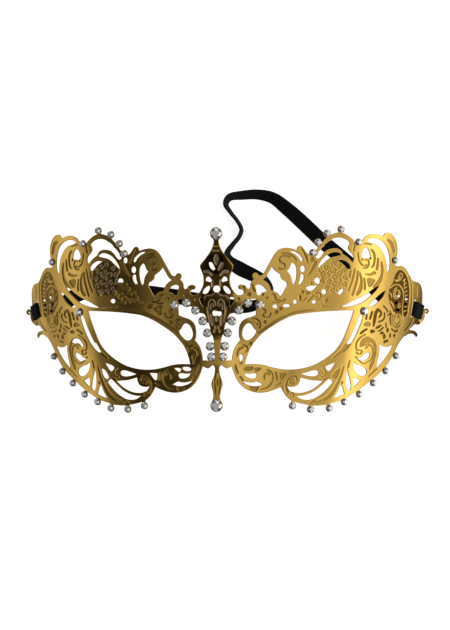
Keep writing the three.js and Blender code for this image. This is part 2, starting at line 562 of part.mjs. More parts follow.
function stoneGeometry(radius) {
  const height = STONE_HEIGHT_RATIO * radius;
  const profile = [[0, 0], [0.94, 0], [1, 0.22], [0.56, 1], [0, 1]];
  const points = profile.map(([across, up]) => new THREE.Vector2(across * radius, up * height));
  return new THREE.LatheGeometry(points, STONE_SIDES).rotateX(Math.PI / 2);
}

function placeStone(mesh, u, v) {
  const { at, along, up, out } = bendFrame(u, v);
  mesh.position.copy(at.addScaledVector(out, SHEET_THICKNESS / 2 + STONE_GAP));
  mesh.quaternion.setFromRotationMatrix(new THREE.Matrix4().makeBasis(along, up, out));
  return mesh;
}

// ---- strap -------------------------------------------------------------------------------------------

function railFrame(side) {
  const { at, along, up, out } = bendFrame(side * RAIL.u, RAIL.v);
  const lean = THREE.MathUtils.degToRad(RAIL.lean);
  along.multiplyScalar(side * Math.cos(lean)).addScaledVector(up, -Math.sin(lean));
  return { at, along, out };
}

function roundedBand(halfLength, halfHeight) {
  const shape = new THREE.Path();
  shape.absarc(halfLength, 0, halfHeight, -Math.PI / 2, Math.PI / 2, false);
  shape.absarc(-halfLength, 0, halfHeight, Math.PI / 2, (3 * Math.PI) / 2, false);
  return shape.getPoints(6);
}

// The folded and sewn end of the strap, a flat band round the rail.
function strapLoop(side) {
  const straight = RAIL.halfDepth - SHEET_THICKNESS / 2;
  const inner = SHEET_THICKNESS / 2 + RAIL_CLEARANCE;
  const shape = new THREE.Shape(roundedBand(straight, inner + STRAP_THICKNESS));
  shape.holes.push(new THREE.Path(roundedBand(straight, inner)));
  const geometry = new THREE.ExtrudeGeometry(shape, { depth: STRAP_WIDTH, bevelEnabled: false });
  geometry.translate(0, 0, -STRAP_WIDTH / 2);
  const { at, along, out } = railFrame(side);
  const axis = new THREE.Vector3().crossVectors(along, out);
  geometry.applyMatrix4(new THREE.Matrix4().makeBasis(along, out, axis).setPosition(at));
  return geometry;
}

// The strap leaves the back of its loop at the slot and comes down to the table.
function strapStart(side) {
  const { at, along, out } = railFrame(side);
  const backOff = SHEET_THICKNESS / 2 + 2 * RAIL_CLEARANCE + STRAP_THICKNESS + 0.1;
  const exit = at.clone().addScaledVector(along, -RAIL.halfDepth);
  exit.addScaledVector(out, -backOff);
  const next = exit.clone().addScaledVector(out, -STRAP_EXIT.straight);
  const drop = new THREE.Vector3(exit.x - side * STRAP_EXIT.inward, exit.y + STRAP_EXIT.up, STRAP_EXIT.height);
  return [exit, next, drop];
}

function strapPath() {
  const lying = STRAP_ROUTE.map(([x, y, low, lean]) => {
    const turn = THREE.MathUtils.degToRad(lean);
    const centre = low + (STRAP_WIDTH * Math.sin(turn) + STRAP_THICKNESS * Math.cos(turn)) / 2;
    return { at: new THREE.Vector3(x, y, centre), turn };
  });
  const ends = [-1, 1].map((side) => strapStart(side).map((at) => ({ at, turn: 0 })));
  return [...ends[0], ...lying, ...ends[1].reverse()];
}

function strapGeometry() {
  const path = strapPath();
  const curve = new THREE.CatmullRomCurve3(path.map((point) => point.at), false, "centripetal");
  const lean = (t) => {
    const place = t * (path.length - 1);
    const i = Math.min(Math.floor(place), path.length - 2);
    return THREE.MathUtils.lerp(path[i].turn, path[i + 1].turn, place - i);
  };
  const steps = Math.round(curve.getLength() / STRAP_STEP);
  const halfW = STRAP_WIDTH / 2;
  const halfT = STRAP_THICKNESS / 2;
  const section = [
    [halfW, -halfT + STRAP_CHAMFER], [halfW, halfT - STRAP_CHAMFER], [halfW - STRAP_CHAMFER, halfT],
    [-halfW + STRAP_CHAMFER, halfT], [-halfW, halfT - STRAP_CHAMFER], [-halfW, -halfT + STRAP_CHAMFER],
    [-halfW + STRAP_CHAMFER, -halfT], [halfW - STRAP_CHAMFER, -halfT],
  ];
  const position = [];
  for (let i = 0; i <= steps; i++) {
    const t = curve.getUtoTmapping(i / steps);
    const at = curve.getPoint(t);
    const ahead = curve.getTangent(t);
    const flat = new THREE.Vector3(-ahead.y, ahead.x, 0).normalize();
    const rise = new THREE.Vector3().crossVectors(ahead, flat);
    const wide = flat.multiplyScalar(Math.cos(lean(t))).addScaledVector(rise, Math.sin(lean(t)));
    const thick = new THREE.Vector3().crossVectors(ahead, wide);
    for (const [across, through] of section) {
      position.push(...at.clone().addScaledVector(wide, across).addScaledVector(thick, through).toArray());
    }
  }
  const sides = section.length;
  const index = [];
  for (let i = 0; i < steps; i++) {
    for (let k = 0; k < sides; k++) {
      const a = i * sides + k;
      const b = i * sides + ((k + 1) % sides);
      index.push(a, b, a + sides, b, b + sides, a + sides);
    }
  }
  for (let k = 1; k < sides - 1; k++) {
    index.push(0, k + 1, k, steps * sides, steps * sides + k, steps * sides + k + 1);
  }
  const geometry = new THREE.BufferGeometry();
  geometry.setAttribute("position", new THREE.Float32BufferAttribute(position, 3));
  geometry.setIndex(index);
  geometry.computeVertexNormals();
  return geometry;
}

// ---- assembly ----------------------------------------------------------------------------------------

const mask = new THREE.Group();

function add(name, geometry, finish) {
  const mesh = new THREE.Mesh(geometry, new THREE.MeshStandardMaterial(FINISHES[finish]));
  mesh.name = name;
  mask.add(mesh);
  return mesh;
}

add("mask_sheet", bentGeometry(flatSheet()), "sheet");
for (const [side, word] of [[1, "right"], [-1, "left"]]) {
  for (const [name, u, v, radius] of STONES) {
    placeStone(add(`stone_${word}_${name}`, stoneGeometry(radius), "stone"), side * u, v);
  }
  add(`strap_loop_${word}`, strapLoop(side), "strap");
}
for (const [name, u, v, radius] of CENTRE_STONES) {
  placeStone(add(`stone_${name}`, stoneGeometry(radius), "stone"), u, v);
}
add("strap", strapGeometry(), "strap");

export default mask;
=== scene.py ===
"""Looks of the venetian masquerade mask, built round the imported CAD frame.

The mask is one etched sheet of metal, so its fine surface is worked out flat, in millimetres, as a
distance field over (u, v), and then bent to the same shape as the CAD sheet. The rhinestones and the
elastic strap are detailed pieces in the places of their CAD solids.
"""
import math

import bpy
import numpy as np
from mathutils import Matrix


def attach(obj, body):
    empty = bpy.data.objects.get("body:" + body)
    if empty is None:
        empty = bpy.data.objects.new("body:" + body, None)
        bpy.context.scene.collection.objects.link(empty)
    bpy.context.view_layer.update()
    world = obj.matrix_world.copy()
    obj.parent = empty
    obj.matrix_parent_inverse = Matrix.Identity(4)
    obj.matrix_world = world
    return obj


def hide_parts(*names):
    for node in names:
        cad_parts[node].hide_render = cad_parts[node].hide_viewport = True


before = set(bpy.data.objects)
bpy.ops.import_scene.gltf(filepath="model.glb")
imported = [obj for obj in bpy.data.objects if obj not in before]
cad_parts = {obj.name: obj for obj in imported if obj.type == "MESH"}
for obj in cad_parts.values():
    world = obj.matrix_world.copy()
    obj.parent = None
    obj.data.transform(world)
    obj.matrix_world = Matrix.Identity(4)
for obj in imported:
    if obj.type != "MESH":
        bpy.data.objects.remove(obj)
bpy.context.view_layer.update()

MM = 0.001

# The sheet's bend, as in part.mjs, in millimetres.
SHEET_THICKNESS = 0.6
BEND_RADIUS = 108
RADIUS_GROWTH = 0.3
BRIDGE = {"depth": 4.5, "v": -13.5, "half_width": 45, "half_height": 13}
RIDGE = {"depth": -3, "v": -17, "half_width": 14, "half_height": 9}
FINIAL = {"lift": 3, "start": 12, "end": 40, "half_width": 14}
TIP = {"lift": 3, "start": -24, "end": -38, "half_width": 14}
FLARE = {"start": 109.6, "radius": 2.4, "v": 1}
CROWN_HEIGHT = 52.315
CENTRE_V = 0.3

# The etched surface.
GRID_STEP = 0.25
GRID_U = 116
GRID_V = (-43.5, 43.5)
GRID_SHIFT = 0.013
CROSSING_MARGIN = 0.02
BAND = 1.6
EDGE_ROUND = 0.14
BACK_EDGE_SHARE = 0.9
RECESS_DEPTH = 0.24
RECESS_WALL = 0.26
CURVE_STEPS = 8
OVAL_STEPS = 28
SCROLL_WINDING = 0.68
WIRE_FILLET = 0.5
PAD_FILLET = 0.4
CENTRE_FILLET = 0.6

# The stones. Their cut is given from the table down: corners, reach as a share of the radius, height as
# a share of the whole, and turn as a share of a step. Then each facet's painted reflection, as a brightness,
# in the same order.
STONE_GAP = 0.3
STONE_HEIGHT_RATIO = 0.76
STONE_CUT = ((8, 0.56, 1, 0), (8, 0.8, 0.66, 0.5), (16, 0.985, 0.24, 0), (16, 0.985, 0.12, 0))
STONE_BACK = {"reach": 0.93, "above_sheet": 0.04}
PAINTED_FACET_REFLECTIONS = ([0.85], [1.0, 0.2] * 4, [0.5, 1.0, 0.1, 1.0] * 2, [0.55, 0.03, 0.9, 0.1] * 4,
          [0.08, 0.06] * 16, [0.1])
PAD_MARGIN = 0.1
NECK_WIDTH = 1.7

STRAP_WIDTH = 7
STRAP_THICKNESS = 0.8
STRAP_RIB = 0.5
STRAP_RIB_DEPTH = 0.05
STRAP_EDGE = 0.3
STRAP_SELVEDGE = {"inset": 0.1, "half_height": 0.25}
STRAP_PICK = 0.62
STRAP_COLUMNS = 53
STRAP_STEP = 0.7
LOOP_STEP = 0.3
LOOP_TURN_POINTS = 14
STRAP_EXIT = {"gap": 0.1, "straight": 4, "inward": 8.5, "up": 1.9, "height": 1.1}
RAIL = {"u": 106.7, "v": 4.2, "half_depth": 2.95, "lean": 15}
RAIL_CLEARANCE = 0.3

# The photographer's camera: its distance from the nose, its turn to the mask's right end, its roll, what
# lies in the middle of the picture, and the lens.
CAMERA_DISTANCE = 900
CAMERA_TURN = math.radians(4.6)
CAMERA_ROLL = math.radians(0.17)
CAMERA_AIM = (3.645, 2.3)
CAMERA_LENS = 114.3

# The light tent's strips in three rows, for reflections that come from the chin's side, from level and from
# the forehead's side: (degrees, brightness) by the angle from overhead to the mask's right, and between
# which angles towards the forehead one row fades into the next. The levels aren't free choices: they follow
# a measurement of the photo's metal by the direction it reflects, with some changes.
CHIN_STRIPS = ((-180, 0.3), (-130, 0.08), (-123, 0.1), (-118, 0.65), (-112, 0.36), (-99, 0.36), (-92, 0.52),
               (-85, 0.46), (-78, 0.22), (-69, 0.11), (-57, 0.06), (-44, 0.06), (-35, 0.24), (-27, 0.17),
               (-21, 0.11), (-15, 0.06), (-9, 0.025), (3, 0.03), (9, 0.2), (15, 0.4), (33, 0.49), (45, 0.5),
               (57, 0.44), (63, 0.9), (69, 1.3), (75, 1.2), (81, 0.95), (94, 0.81), (105, 0.4), (112, 0.12),
               (117, 0.04), (180, 0.3))
LEVEL_STRIPS = ((-180, 0.3), (-128, 0.15), (-120, 0.45), (-111, 0.36), (-99, 0.38), (-93, 0.46), (-87, 0.6),
                (-80, 0.62), (-75, 0.42), (-69, 0.14), (-57, 0.06), (-50, 0.03), (-42, 0.07), (-33, 0.16),
                (-27, 0.16), (-20, 0.09), (-14, 0.06), (-8, 0.05), (-3, 0.12), (3, 0.32), (9, 0.48),
                (15, 0.43), (24, 0.5), (40, 0.53), (54, 0.45), (61, 0.6), (67, 1.2), (73, 1.6), (79, 1.2),
                (86, 0.6), (110, 0.4), (180, 0.7))
FOREHEAD_STRIPS = ((-180, 0.3), (-90, 0.55), (-75, 0.4), (-60, 0.06), (-48, 0.02), (-38, 0.03), (-31, 0.035),
                   (-29, 0.12), (-26, 0.13), (-21, 0.2), (-9, 0.23), (0, 0.29), (9, 0.46), (18, 0.68),
                   (25, 0.56), (31, 0.34), (37, 0.48), (57, 0.5), (67, 1.2), (79, 1.2), (90, 0.5),
                   (180, 0.3))
CHIN_FADE = ((-8.5, 0), (-5, 1))
FOREHEAD_FADE = ((2.5, 0), (7, 1))
BACKDROP = (0.93, 0.93, 0.93, 1)

# Colours: the plate and the painted shade along the rims of its etched areas, the etched ground and its
# painted shade in the temple, and plate and ground under the painted dark reflection of the pendant and the
# left brow disc.
GOLD = ((0.99, 0.625, 0.15), (0.93, 0.565, 0.12))
GOLD_RIM_PAINTED_SHADE = (0.42, 0.25, 0.05)
GOLD_PAINTED_DARK_REFLECTION = (0.14, 0.07, 0.018)
ETCHED = ((0.46, 0.27, 0.05), (0.68, 0.42, 0.09))
ETCHED_TEMPLE_PAINTED_SHADE = (0.19, 0.095, 0.016)
ETCHED_IN_PAINTED_REFLECTION = (0.62, 0.46, 0.3)

# The temple's etched ground is painted dark with shade; it takes in the dots past TEMPLE_U.
# TEMPLE_SHADE_LEAST is the least distance kept in its field on each half: at 0 the left half's painted shade
# stays paler.
TEMPLE_U = 70
TEMPLE_SHADE_LEAST = {"left": 0.0, "right": -10}

# The brow disc of close scrollwork: its rings of spirals (radius, count), one spiral, and how strong the
# painted dark reflection on it is, on the left half only.
DISC = {"u": 54.2, "v": 19.2, "stretch": 1.05, "radius": 8.4, "shade": 0.8}
DISC_RINGS = ((0, 1), (3, 6), (5.9, 11))
DISC_SPIRAL = {"radius": 1.25, "turns": 0.95, "fewer": 0.1, "width": 0.55}

# The pendant's half width, and how strong its painted dark reflection is, by place along its length.
PENDANT_WIDTH = ((-10, 1.4), (-4, 3.2), (0, 4.0), (5, 5.6), (8.5, 7.2), (11, 7.6), (14, 6.4), (18, 6.0),
                 (24, 7.5), (30, 3.5), (36, 1.2))
PENDANT_SHADE = ((-10, 0), (-8, 0.4), (4, 0.4), (6, 0.85), (13, 0.85), (15, 0.35), (20, 0.35), (21.5, 1),
                 (29, 1), (31, 0.3), (33, 0))


def even(width, *points):
    """Points of a groove of one width."""
    return [(u, v, width) for u, v in points]


# The flat sheet's right half, in millimetres from the centre line (u) and up (v). Outlines are smooth
# closed curves through their points; a third value of 1 keeps a corner sharp.
SHEET_OUTLINE = [(-0.6, 37.4, 1), (1.3, 37), (1.15, 35.4), (1.6, 33.4), (2.4, 31.5), (3.9, 29.2), (6, 26.6),
    (7.4, 24.9), (7.5, 23.8), (6.8, 22), (6.2, 20.3), (6, 18.4), (6.1, 16.4), (6.8, 14.4), (7.9, 12.6),
    (9.2, 11.5), (10.7, 11.2), (11.8, 11.8), (12, 12.9), (11.2, 13.7), (10.1, 13.9), (9.5, 14.7),
    (9.9, 15.6), (11.2, 16), (12.8, 15.5), (13.7, 14.3), (14.5, 14.1), (15, 15), (15.2, 16.6), (16, 17.8),
    (16.6, 18.4), (16, 19.4), (16.1, 20.6), (17.1, 21.3), (18.3, 21), (19, 20.1), (20, 20), (20.9, 20.9),
    (22.3, 23.3), (24.2, 26.6), (26, 29.6), (27.5, 31.3), (29.4, 32.3), (31.8, 32.6), (34.2, 32.2),
    (36.2, 31.6, 1), (36.6, 32.8), (37.6, 33.5), (38.9, 33.1), (40, 31.7), (41.2, 30.3), (42.6, 29.6),
    (44.2, 29.8), (45.4, 31.4), (46.9, 33.4), (48.9, 35.7), (51.2, 37.7), (54.2, 39.2), (57.3, 39.7),
    (60, 39.1), (62.6, 37.7), (64.8, 35.9), (66.6, 35.1), (68.2, 35.6), (70.2, 37.7), (72.4, 38.9),
    (75.5, 39.4), (78.4, 38.9), (80.4, 38.3, 1), (81.4, 39.5), (83.2, 40.1), (85.3, 39.6), (87.4, 38),
    (88.9, 35.6), (89.6, 32.8), (89.5, 29.8), (88.9, 27), (88.3, 25.3, 1), (90.2, 24.7), (92.5, 24.9),
    (95, 24), (97.2, 22.2), (99.2, 20), (101, 18.3), (102.8, 17.7), (104.9, 17.5), (107.1, 16.6),
    (108.8, 14.6), (109.8, 12), (110.4, 9.4), (110.7, 7.7, 1), (108.4, -0.8, 1), (106.4, -1.7), (104, -2.9),
    (101.3, -4.6, 1), (99.6, -6.6, 1), (96.6, -8.5), (94, -10.9), (91.8, -13.8), (88.9, -18), (84.9, -22.2),
    (80.2, -25.5), (75.2, -28.5), (70.2, -31.5), (65.6, -33.8), (61.5, -35.8), (58, -37.1), (54.5, -37.8),
    (51.5, -38.6), (48, -38.9), (44, -38.9), (40, -38.2), (36.5, -37.4), (33.6, -36.3), (31.5, -34.6),
    (29.9, -32.3), (28.8, -30.3, 1), (26, -31.5), (22.5, -32.5), (18.9, -32.8), (15.8, -32.2),
    (12.8, -30.9), (10.2, -28.7), (8.3, -25.8), (7.1, -22.8), (6.5, -20.9, 1), (5.5, -21.4), (4.3, -21.8),
    (3.1, -21.2), (2, -20.4), (1.2, -21.1), (1.1, -23), (1.5, -25.2), (2.3, -27.2), (2.6, -28.8),
    (2.2, -30.8), (1.7, -33), (1.6, -35), (1.9, -36.4), (-0.6, -36.6, 1)]

# Windows etched through both halves.
WINDOWS = {
    "eye": [(12.4, -19.9, 1), (16, -19.8), (20.5, -20.2), (25, -21.4), (30, -22.3), (34.5, -22.4),
        (39, -21.9), (43.5, -20.8), (48, -18.9), (52, -16.5), (55.5, -13.8), (58.4, -10.3), (60.6, -6.2),
        (62.4, -2.2), (64, 1.8), (64.8, 4.3, 1), (60, 4.2), (54, 4), (47, 3.6), (41, 3), (35.5, 2.2),
        (30, 0.1), (25, -2.8), (20.5, -5.9), (17.2, -9.4), (15.2, -12.2), (13.9, -15), (13, -17.6)],
    "nose_bay": [(5.9, 2.8, 1), (8.2, 3.4), (10.2, 4.6), (11.4, 6.8), (13.2, 8.8), (15.4, 9.4), (17.8, 9.4),
        (18.4, 7.6), (17.6, 5), (17.4, 2.2, 1), (15, 1.3), (12.7, 0.5), (10.9, -0.9), (9.9, -2.8),
        (9.6, -5), (9.7, -7.6), (10.1, -9), (9.2, -10.2), (7.8, -12.3), (6.9, -15), (6.6, -17),
        (6.4, -18.2, 1), (5.2, -18.1), (3.4, -18.3), (1.8, -18), (1.4, -16.2), (1.3, -13.8), (1.7, -12),
        (1.7, -9.8), (1.9, -8.2), (2.6, -6.4), (3.1, -4.4), (3.8, -1.8), (4.8, 0.8)],
    "brow_loop": [(12.2, -8.6), (11.3, -7), (11.4, -4.9), (12.2, -3), (13.4, -1.7), (14.7, -1.5),
        (15.7, -2.5), (16.4, -3.8), (17.4, -4.8), (17.3, -5.8), (16.2, -7.4), (14.6, -8.8), (13.2, -9.1)],
    "lower_bar_upper": [(12.2, -24.1, 1), (14.5, -24.2), (17.2, -24.1), (17.7, -25), (16.9, -26.2),
        (14.8, -26.2), (13, -25.3)],
    "lower_bar_lower": [(11.4, -27.3, 1), (13.6, -28), (16.2, -28.1), (18, -27.8), (20.4, -29, 1),
        (18.2, -29.7), (15.2, -29.5), (12.8, -28.6)],
    "volute_crescent": [(31.8, -30.1, 1), (33, -31.8), (35.3, -32.8), (39, -32.9), (42.6, -32),
        (45.6, -30.5), (49, -27.9, 1), (46.6, -27.6), (43.6, -27.4), (40.8, -26.8), (38.2, -26.1, 1),
        (37.8, -27.8), (36.7, -29.5), (34.6, -30.3)],
    "rim_crescent": [(36.2, -34.4, 1), (38.4, -35.7), (41.2, -36.2), (44.2, -35.8), (47.4, -34.3),
        (50.4, -32.2), (53, -29.7), (54.2, -28.5, 1), (53.4, -27.4), (52.3, -27), (50.8, -27.9),
        (48, -30.2), (44.8, -32.4), (41, -33.9), (38.2, -34.4)],
    "under_eye_slot": [(38.6, -24.5, 1), (42, -23.5), (45.4, -22.9), (46.7, -23.5), (46.6, -24.8),
        (45, -25.5), (41.5, -25.3)],
    "under_eye_leaf": [(50.4, -21.6), (52, -20.6), (55.4, -19.6, 1), (54.1, -21.5), (52.4, -23.2),
        (51.2, -22.8)],
    "rim_triangle": [(58.5, -29.4, 1), (57.3, -31.8), (56, -34), (54.8, -35.6, 1), (57.6, -35),
        (60.4, -34, 1), (59.8, -31.8)],
    "cheek_slot": [(61.9, -22.4, 1), (62.6, -25), (63.5, -27.8), (64.1, -30.4), (63.6, -32.1),
        (62.4, -32.2), (61.5, -30.4), (61.2, -27.5), (61.4, -24.6)],
    "cheek_notch": [(65.5, -26.3, 1), (67.4, -27.1), (69.4, -28, 1), (67.6, -29.4), (65.9, -30.7, 1),
        (65.4, -28.5)],
    "shell_foot": [(65, -19.2, 1), (67.2, -20.5), (70.2, -21.4), (72.6, -22.8), (72.9, -24.6),
        (71.4, -25.9), (69, -25.6), (66.8, -24.3), (65.3, -22)],
    "shell_eye": [(67.3, -17.8, 1), (69.4, -17.2), (71.2, -16), (73.2, -15.2), (74.5, -15.5), (74.1, -17.2),
        (72.6, -18.5), (70.2, -18.9)],
    "temple_triangle": [(80.4, -11, 1), (82.4, -12.3), (85.4, -12.7), (89.3, -11.9, 1), (88, -14.2),
        (85.6, -16.9), (82.6, -19.8), (79, -22.5, 1), (79.3, -20), (80.2, -17), (80.6, -14)],
    "eye_corner_slit": [(68.4, 2.2), (66.9, -0.8), (64.9, -4.8), (62.9, -8.4), (61.2, -11, 1), (63.4, -11),
        (65.6, -8), (67.6, -4.4), (69.2, -0.8), (69.9, 2)],
    "brow_slit": [(58.2, 5.9, 1), (62, 6), (66, 6.8), (70, 8.2), (74, 10.8), (77.2, 13.3), (79, 15.6, 1),
        (76.4, 14.6), (73, 12.5), (69, 10.5), (65, 8.9), (61, 7.1)],
    "temple_slit": [(72.8, 6.3, 1), (74.8, 5.9), (77.2, 7), (79.6, 8.7), (81.8, 10.9), (83.2, 13.5, 1),
        (80.9, 12.4), (78.2, 10.6), (75.3, 8.4)],
    "crown_bay": [(24.6, 13.3), (23.8, 15.4), (22.5, 17), (20.8, 18.1, 1), (22.4, 19.6), (23.5, 21.6),
        (24.9, 23.8, 1), (25.9, 22.5), (27.4, 21.3), (28.6, 20.4), (28.9, 19), (30, 17.9), (31.4, 17),
        (31.7, 15.6), (30.8, 13.9), (29.8, 12), (28.7, 10.7, 1), (27.6, 12.1), (26.2, 12.9)],
    "small_arch": [(17.4, 15.3), (18.5, 15.9), (20.2, 15.6), (21.6, 14.3), (22.5, 13), (21.2, 12.6),
        (20.2, 12.1), (19.6, 11.3), (18.5, 11.2), (17.9, 12.4), (17.7, 14)],
    "crown_leaf": [(34.2, 25.7), (33.4, 24.4), (32.9, 23.1), (31.9, 22.1, 1), (33, 20.8), (33.8, 19.2),
        (34.2, 17.3), (34.7, 15.8, 1), (35.5, 17.2), (36, 19.4), (36.2, 21.8), (35.9, 23.9), (35.1, 25.2)],
    "crown_drop": [(38.4, 20.8), (39.5, 20.3), (39.5, 18.7), (38.7, 17), (37.6, 16), (37.3, 16.6),
        (37.9, 18.4), (38.1, 19.9)],
    "crown_crescent": [(33.2, 31, 1), (35.4, 30.7), (37.4, 29.5), (38.8, 27.9), (38.9, 26.4), (38.2, 26.7),
        (37.2, 28.2), (35.6, 29.6), (34.2, 30.3)],
    "arch_crescent": [(46.2, 23.2, 1), (47.2, 25.4), (49, 27.8), (51.2, 29.6), (54, 30.6), (56.6, 30.5),
        (58, 29.4, 1), (55.8, 28.9), (53.2, 28.3), (51, 27.2), (48.9, 25.4)],
    "arch_bay": [(45.4, 28.6), (46.4, 27.7), (47.6, 28.3), (49.2, 30.3), (51.3, 31.8), (54, 32.4),
        (56.4, 32.2), (58, 31.2), (58.9, 29.8), (60.4, 29), (62.2, 27.7), (63.9, 26, 1), (64.4, 27.6),
        (64.1, 29.2), (62.5, 30.9), (61.4, 32.2), (61.5, 33.6), (62.2, 34.9), (61, 36.1), (59.2, 36.9),
        (57, 37.3), (54.4, 36.9), (51.9, 35.7), (49.5, 33.8), (47.2, 31.2)],
    "disc_crescent": [(56, 27, 1), (58.4, 27.2), (60.8, 26.3), (62.6, 24.6), (62.6, 23, 1), (61.2, 23.1),
        (60, 24.3), (58.4, 25.6)],
    "brow_bean": [(44.6, 18.1), (45.6, 19), (47, 18.8), (47.4, 17.4), (46.7, 16.3), (45.4, 16.7)],
    "wing_crescent": [(71.2, 36.2, 1), (73.8, 37.2), (76.8, 37.1), (79.6, 36.2), (82.2, 34.2), (83.9, 31.4),
        (84.8, 28.2), (85, 24.8), (84.2, 22), (83.5, 22.4), (83.1, 25.2), (82.2, 28.4), (80.6, 31.2),
        (78.4, 33.4), (75.8, 34.8), (73.2, 35.2)],
    "wing_eye": [(69.2, 31.1), (70.2, 32.7), (71.6, 32.7), (72.8, 31), (73.3, 28.4), (71.6, 28.2),
        (69.5, 28.2), (68.7, 29.4)],
    "pendant_shoulder": [(2.3, 17.6), (2.8, 18.9), (3.7, 19.6), (4.6, 18.9), (4.8, 17.8), (3.8, 17.5),
        (2.9, 17.2)],
    "pendant_leaf": [(3.1, 15), (3.3, 13.7), (4.2, 12.4), (5.5, 11.8), (6.3, 12.3), (5.8, 13.6),
        (4.7, 14.8), (3.6, 15.4)],
    "pendant_side": [(6.1, 10.3), (7.5, 10.1), (7.7, 9), (7, 7.3), (6, 6.1), (5.8, 7.8), (5.9, 9.3)],
    "strap_slot": [(103.5, 9.5, 1), (105, 9.1, 1), (102.7, 0.8, 1), (101.3, 1.2, 1)],
}

# Round and oval windows: centre u, v, then half width and half height.
OVALS = {
    "both": [[39.1, 23.0, 1.05, 1.5], [91.8, 10.8, 0.95, 0.6], [90.6, 7.6, 1.2, 0.9], [91.8, 4.4, 1.4, 0.65],
             [97.4, 9.4, 1.0, 0.5], [97.3, 7.2, 1.3, 0.6], [97.1, 5.0, 1.2, 0.5], [97.8, 2.9, 0.8, 0.45]],
    "centre": [[0, 14.0, 1.55, 1.55]],
    "left": [[43.3, 27.3, 0.95, 1.3], [50.3, 8.8, 1.2, 1.0]],
    "right": [[49.4, 12.7, 1.15, 1.15], [44.5, 8.1, 1.05, 0.75], [35.5, 8.2, 0.8, 0.95],
              [31.5, 6.4, 1.6, 0.75], [26.3, 6.1, 1.05, 0.85]],
}

# Windows that the etch opened on one half only; the other half is just half etched there.
SIDE_WINDOWS = {
    "left": {
        "lobe_inner": [(11.9, -22.3), (12.7, -21.4), (14.5, -21.1), (16, -21.5), (15.2, -22.6), (13.2, -23)],
        "lobe_outer": [(16.6, -22.2), (17.6, -21.7), (19.6, -21.8), (18.6, -22.8), (17.4, -23.4)],
        "trapezoid": [(27.9, -24.1, 1), (31.6, -24, 1), (30.3, -25.7), (29, -27.1), (28.1, -26.9, 1)],
        "under_eye_drop": [(57.5, -22.3), (57.2, -24.2), (56.1, -26.2), (54.7, -26.9), (53.6, -26.3),
            (54.4, -24.5), (56, -22.8)],
        "slit_tail": [(60.7, -10.4, 1), (63.6, -10.9, 1), (61.8, -12.9), (59.6, -14.5), (58.1, -14.7),
            (59, -12.8)],
        "shell_arc": [(69.2, -12.3), (69.7, -10.6), (71.1, -9.2), (73.3, -8.4), (75.5, -8.8),
            (76.9, -10.1, 1), (74.8, -10.7), (72.7, -10.5), (71, -11.2), (70, -12.3)],
        "pendant_slot": [(1, 22.6), (2, 22.7), (3.2, 24.6), (3.3, 25.9), (2.2, 26), (1.2, 24.4),
            (0.7, 23.2)],
    },
    "right": {
        "medallion_drop": [(10.5, -15.4), (11.5, -16.4), (11.2, -17.8), (10.5, -18.8), (10, -17.4),
            (10, -16)],
        "brow_leaf": [(40.8, 14.6), (42.6, 15.3), (44.6, 15.4), (46.2, 15.8, 1), (45.2, 14.6), (44, 13.5),
            (42.6, 13.1), (41.4, 13.6)],
        "disc_leaf": [(56.4, 12), (57.2, 13.4), (59.2, 14), (58.9, 12.6), (57.6, 11.5)],
    },
}

# The trefoil window of the pendant lies across the centre line.
TREFOIL = [(0, 5, 1), (1, 4.5), (1.9, 3.8), (2, 2.8), (1.4, 2), (0.6, 1.9), (0, 2.2, 1), (-0.6, 1.9),
    (-1.4, 2), (-2, 2.8), (-1.9, 3.8), (-1, 4.5)]

# Wires that stand out from the sheet's edge: centre line and width.
WIRES = {
    "upper_curl": [(106.8, -1.7, 1.7), (109.2, -1.6, 1.6), (110.8, -0.4, 1.5), (111.6, 1.1, 1.3),
        (111.8, 2.9, 1.2), (112.3, 4.4, 1.1), (113.3, 4.7, 1.1), (113.8, 3.8, 1.1), (113.1, 3, 1.1)],
    "lower_curl": [(97.8, -6.7, 2.4), (100.6, -5.9, 2), (103.5, -5.9, 1.7), (106, -6.4, 1.8),
        (107.7, -7.4, 1.9)],
}

# The stones' centres were worked out by a program from places seen in the photo.
# Rhinestones of one half: name, centre u, v, radius, and the point of the rim where the tab starts.
SMALL = 1.65
MIDDLE = 1.95
LARGE = 2.75
STONES = [
    ["nose_1", 2.6, -16.6, MIDDLE, 0.8, -17.2],
    ["nose_2", 3.3, -11.8, MIDDLE, 0.8, -11.4],
    ["nose_3", 4.6, -5.8, MIDDLE, 2.0, -5.4],
    ["nose_4", 6.6, -0.4, MIDDLE, 4.0, -0.2],
    ["nose_5", 9.8, 4.5, MIDDLE, 8.2, 6.6],
    ["nose_6", 13.8, 7.8, MIDDLE, 13.2, 10.2],
    ["nose_7", 19.4, 6.9, MIDDLE, 21.4, 7.0],
    ["arch_1", 43.9, 30.4, SMALL, 45.6, 29.8],
    ["arch_2", 46.4, 35.0, SMALL, 48.6, 33.8],
    ["arch_3", 50.8, 39.2, SMALL, 52.4, 36.8],
    ["arch_4", 57.7, 41.1, SMALL, 57.4, 38.4],
    ["arch_5", 66.9, 35.4, SMALL, 66.4, 34.0],
    ["arch_6", 88.1, 27.4, SMALL, 87.2, 26.0],
    ["eye_corner", 70.5, 3.9, 2.0, 71.6, 5.2],
    ["cheek_1", 34.3, -38.8, SMALL, 34.8, -36.0],
    ["cheek_2", 43.0, -40.5, SMALL, 43.4, -38.0],
    ["cheek_3", 52.5, -40.2, SMALL, 52.0, -37.6],
    ["cheek_4", 60.5, -37.5, SMALL, 59.8, -35.6],
    ["cheek_5", 68.9, -34.2, SMALL, 67.4, -32.0],
    ["cheek_6", 77.2, -29.2, SMALL, 75.6, -27.4],
    ["cheek_7", 85.0, -23.8, SMALL, 83.0, -22.0],
    ["cheek_8", 91.8, -16.9, SMALL, 89.4, -16.0],
]
CENTRE_STONES = [["crest", 0, 38.9, LARGE], ["tip", 0, -38.4, LARGE]]

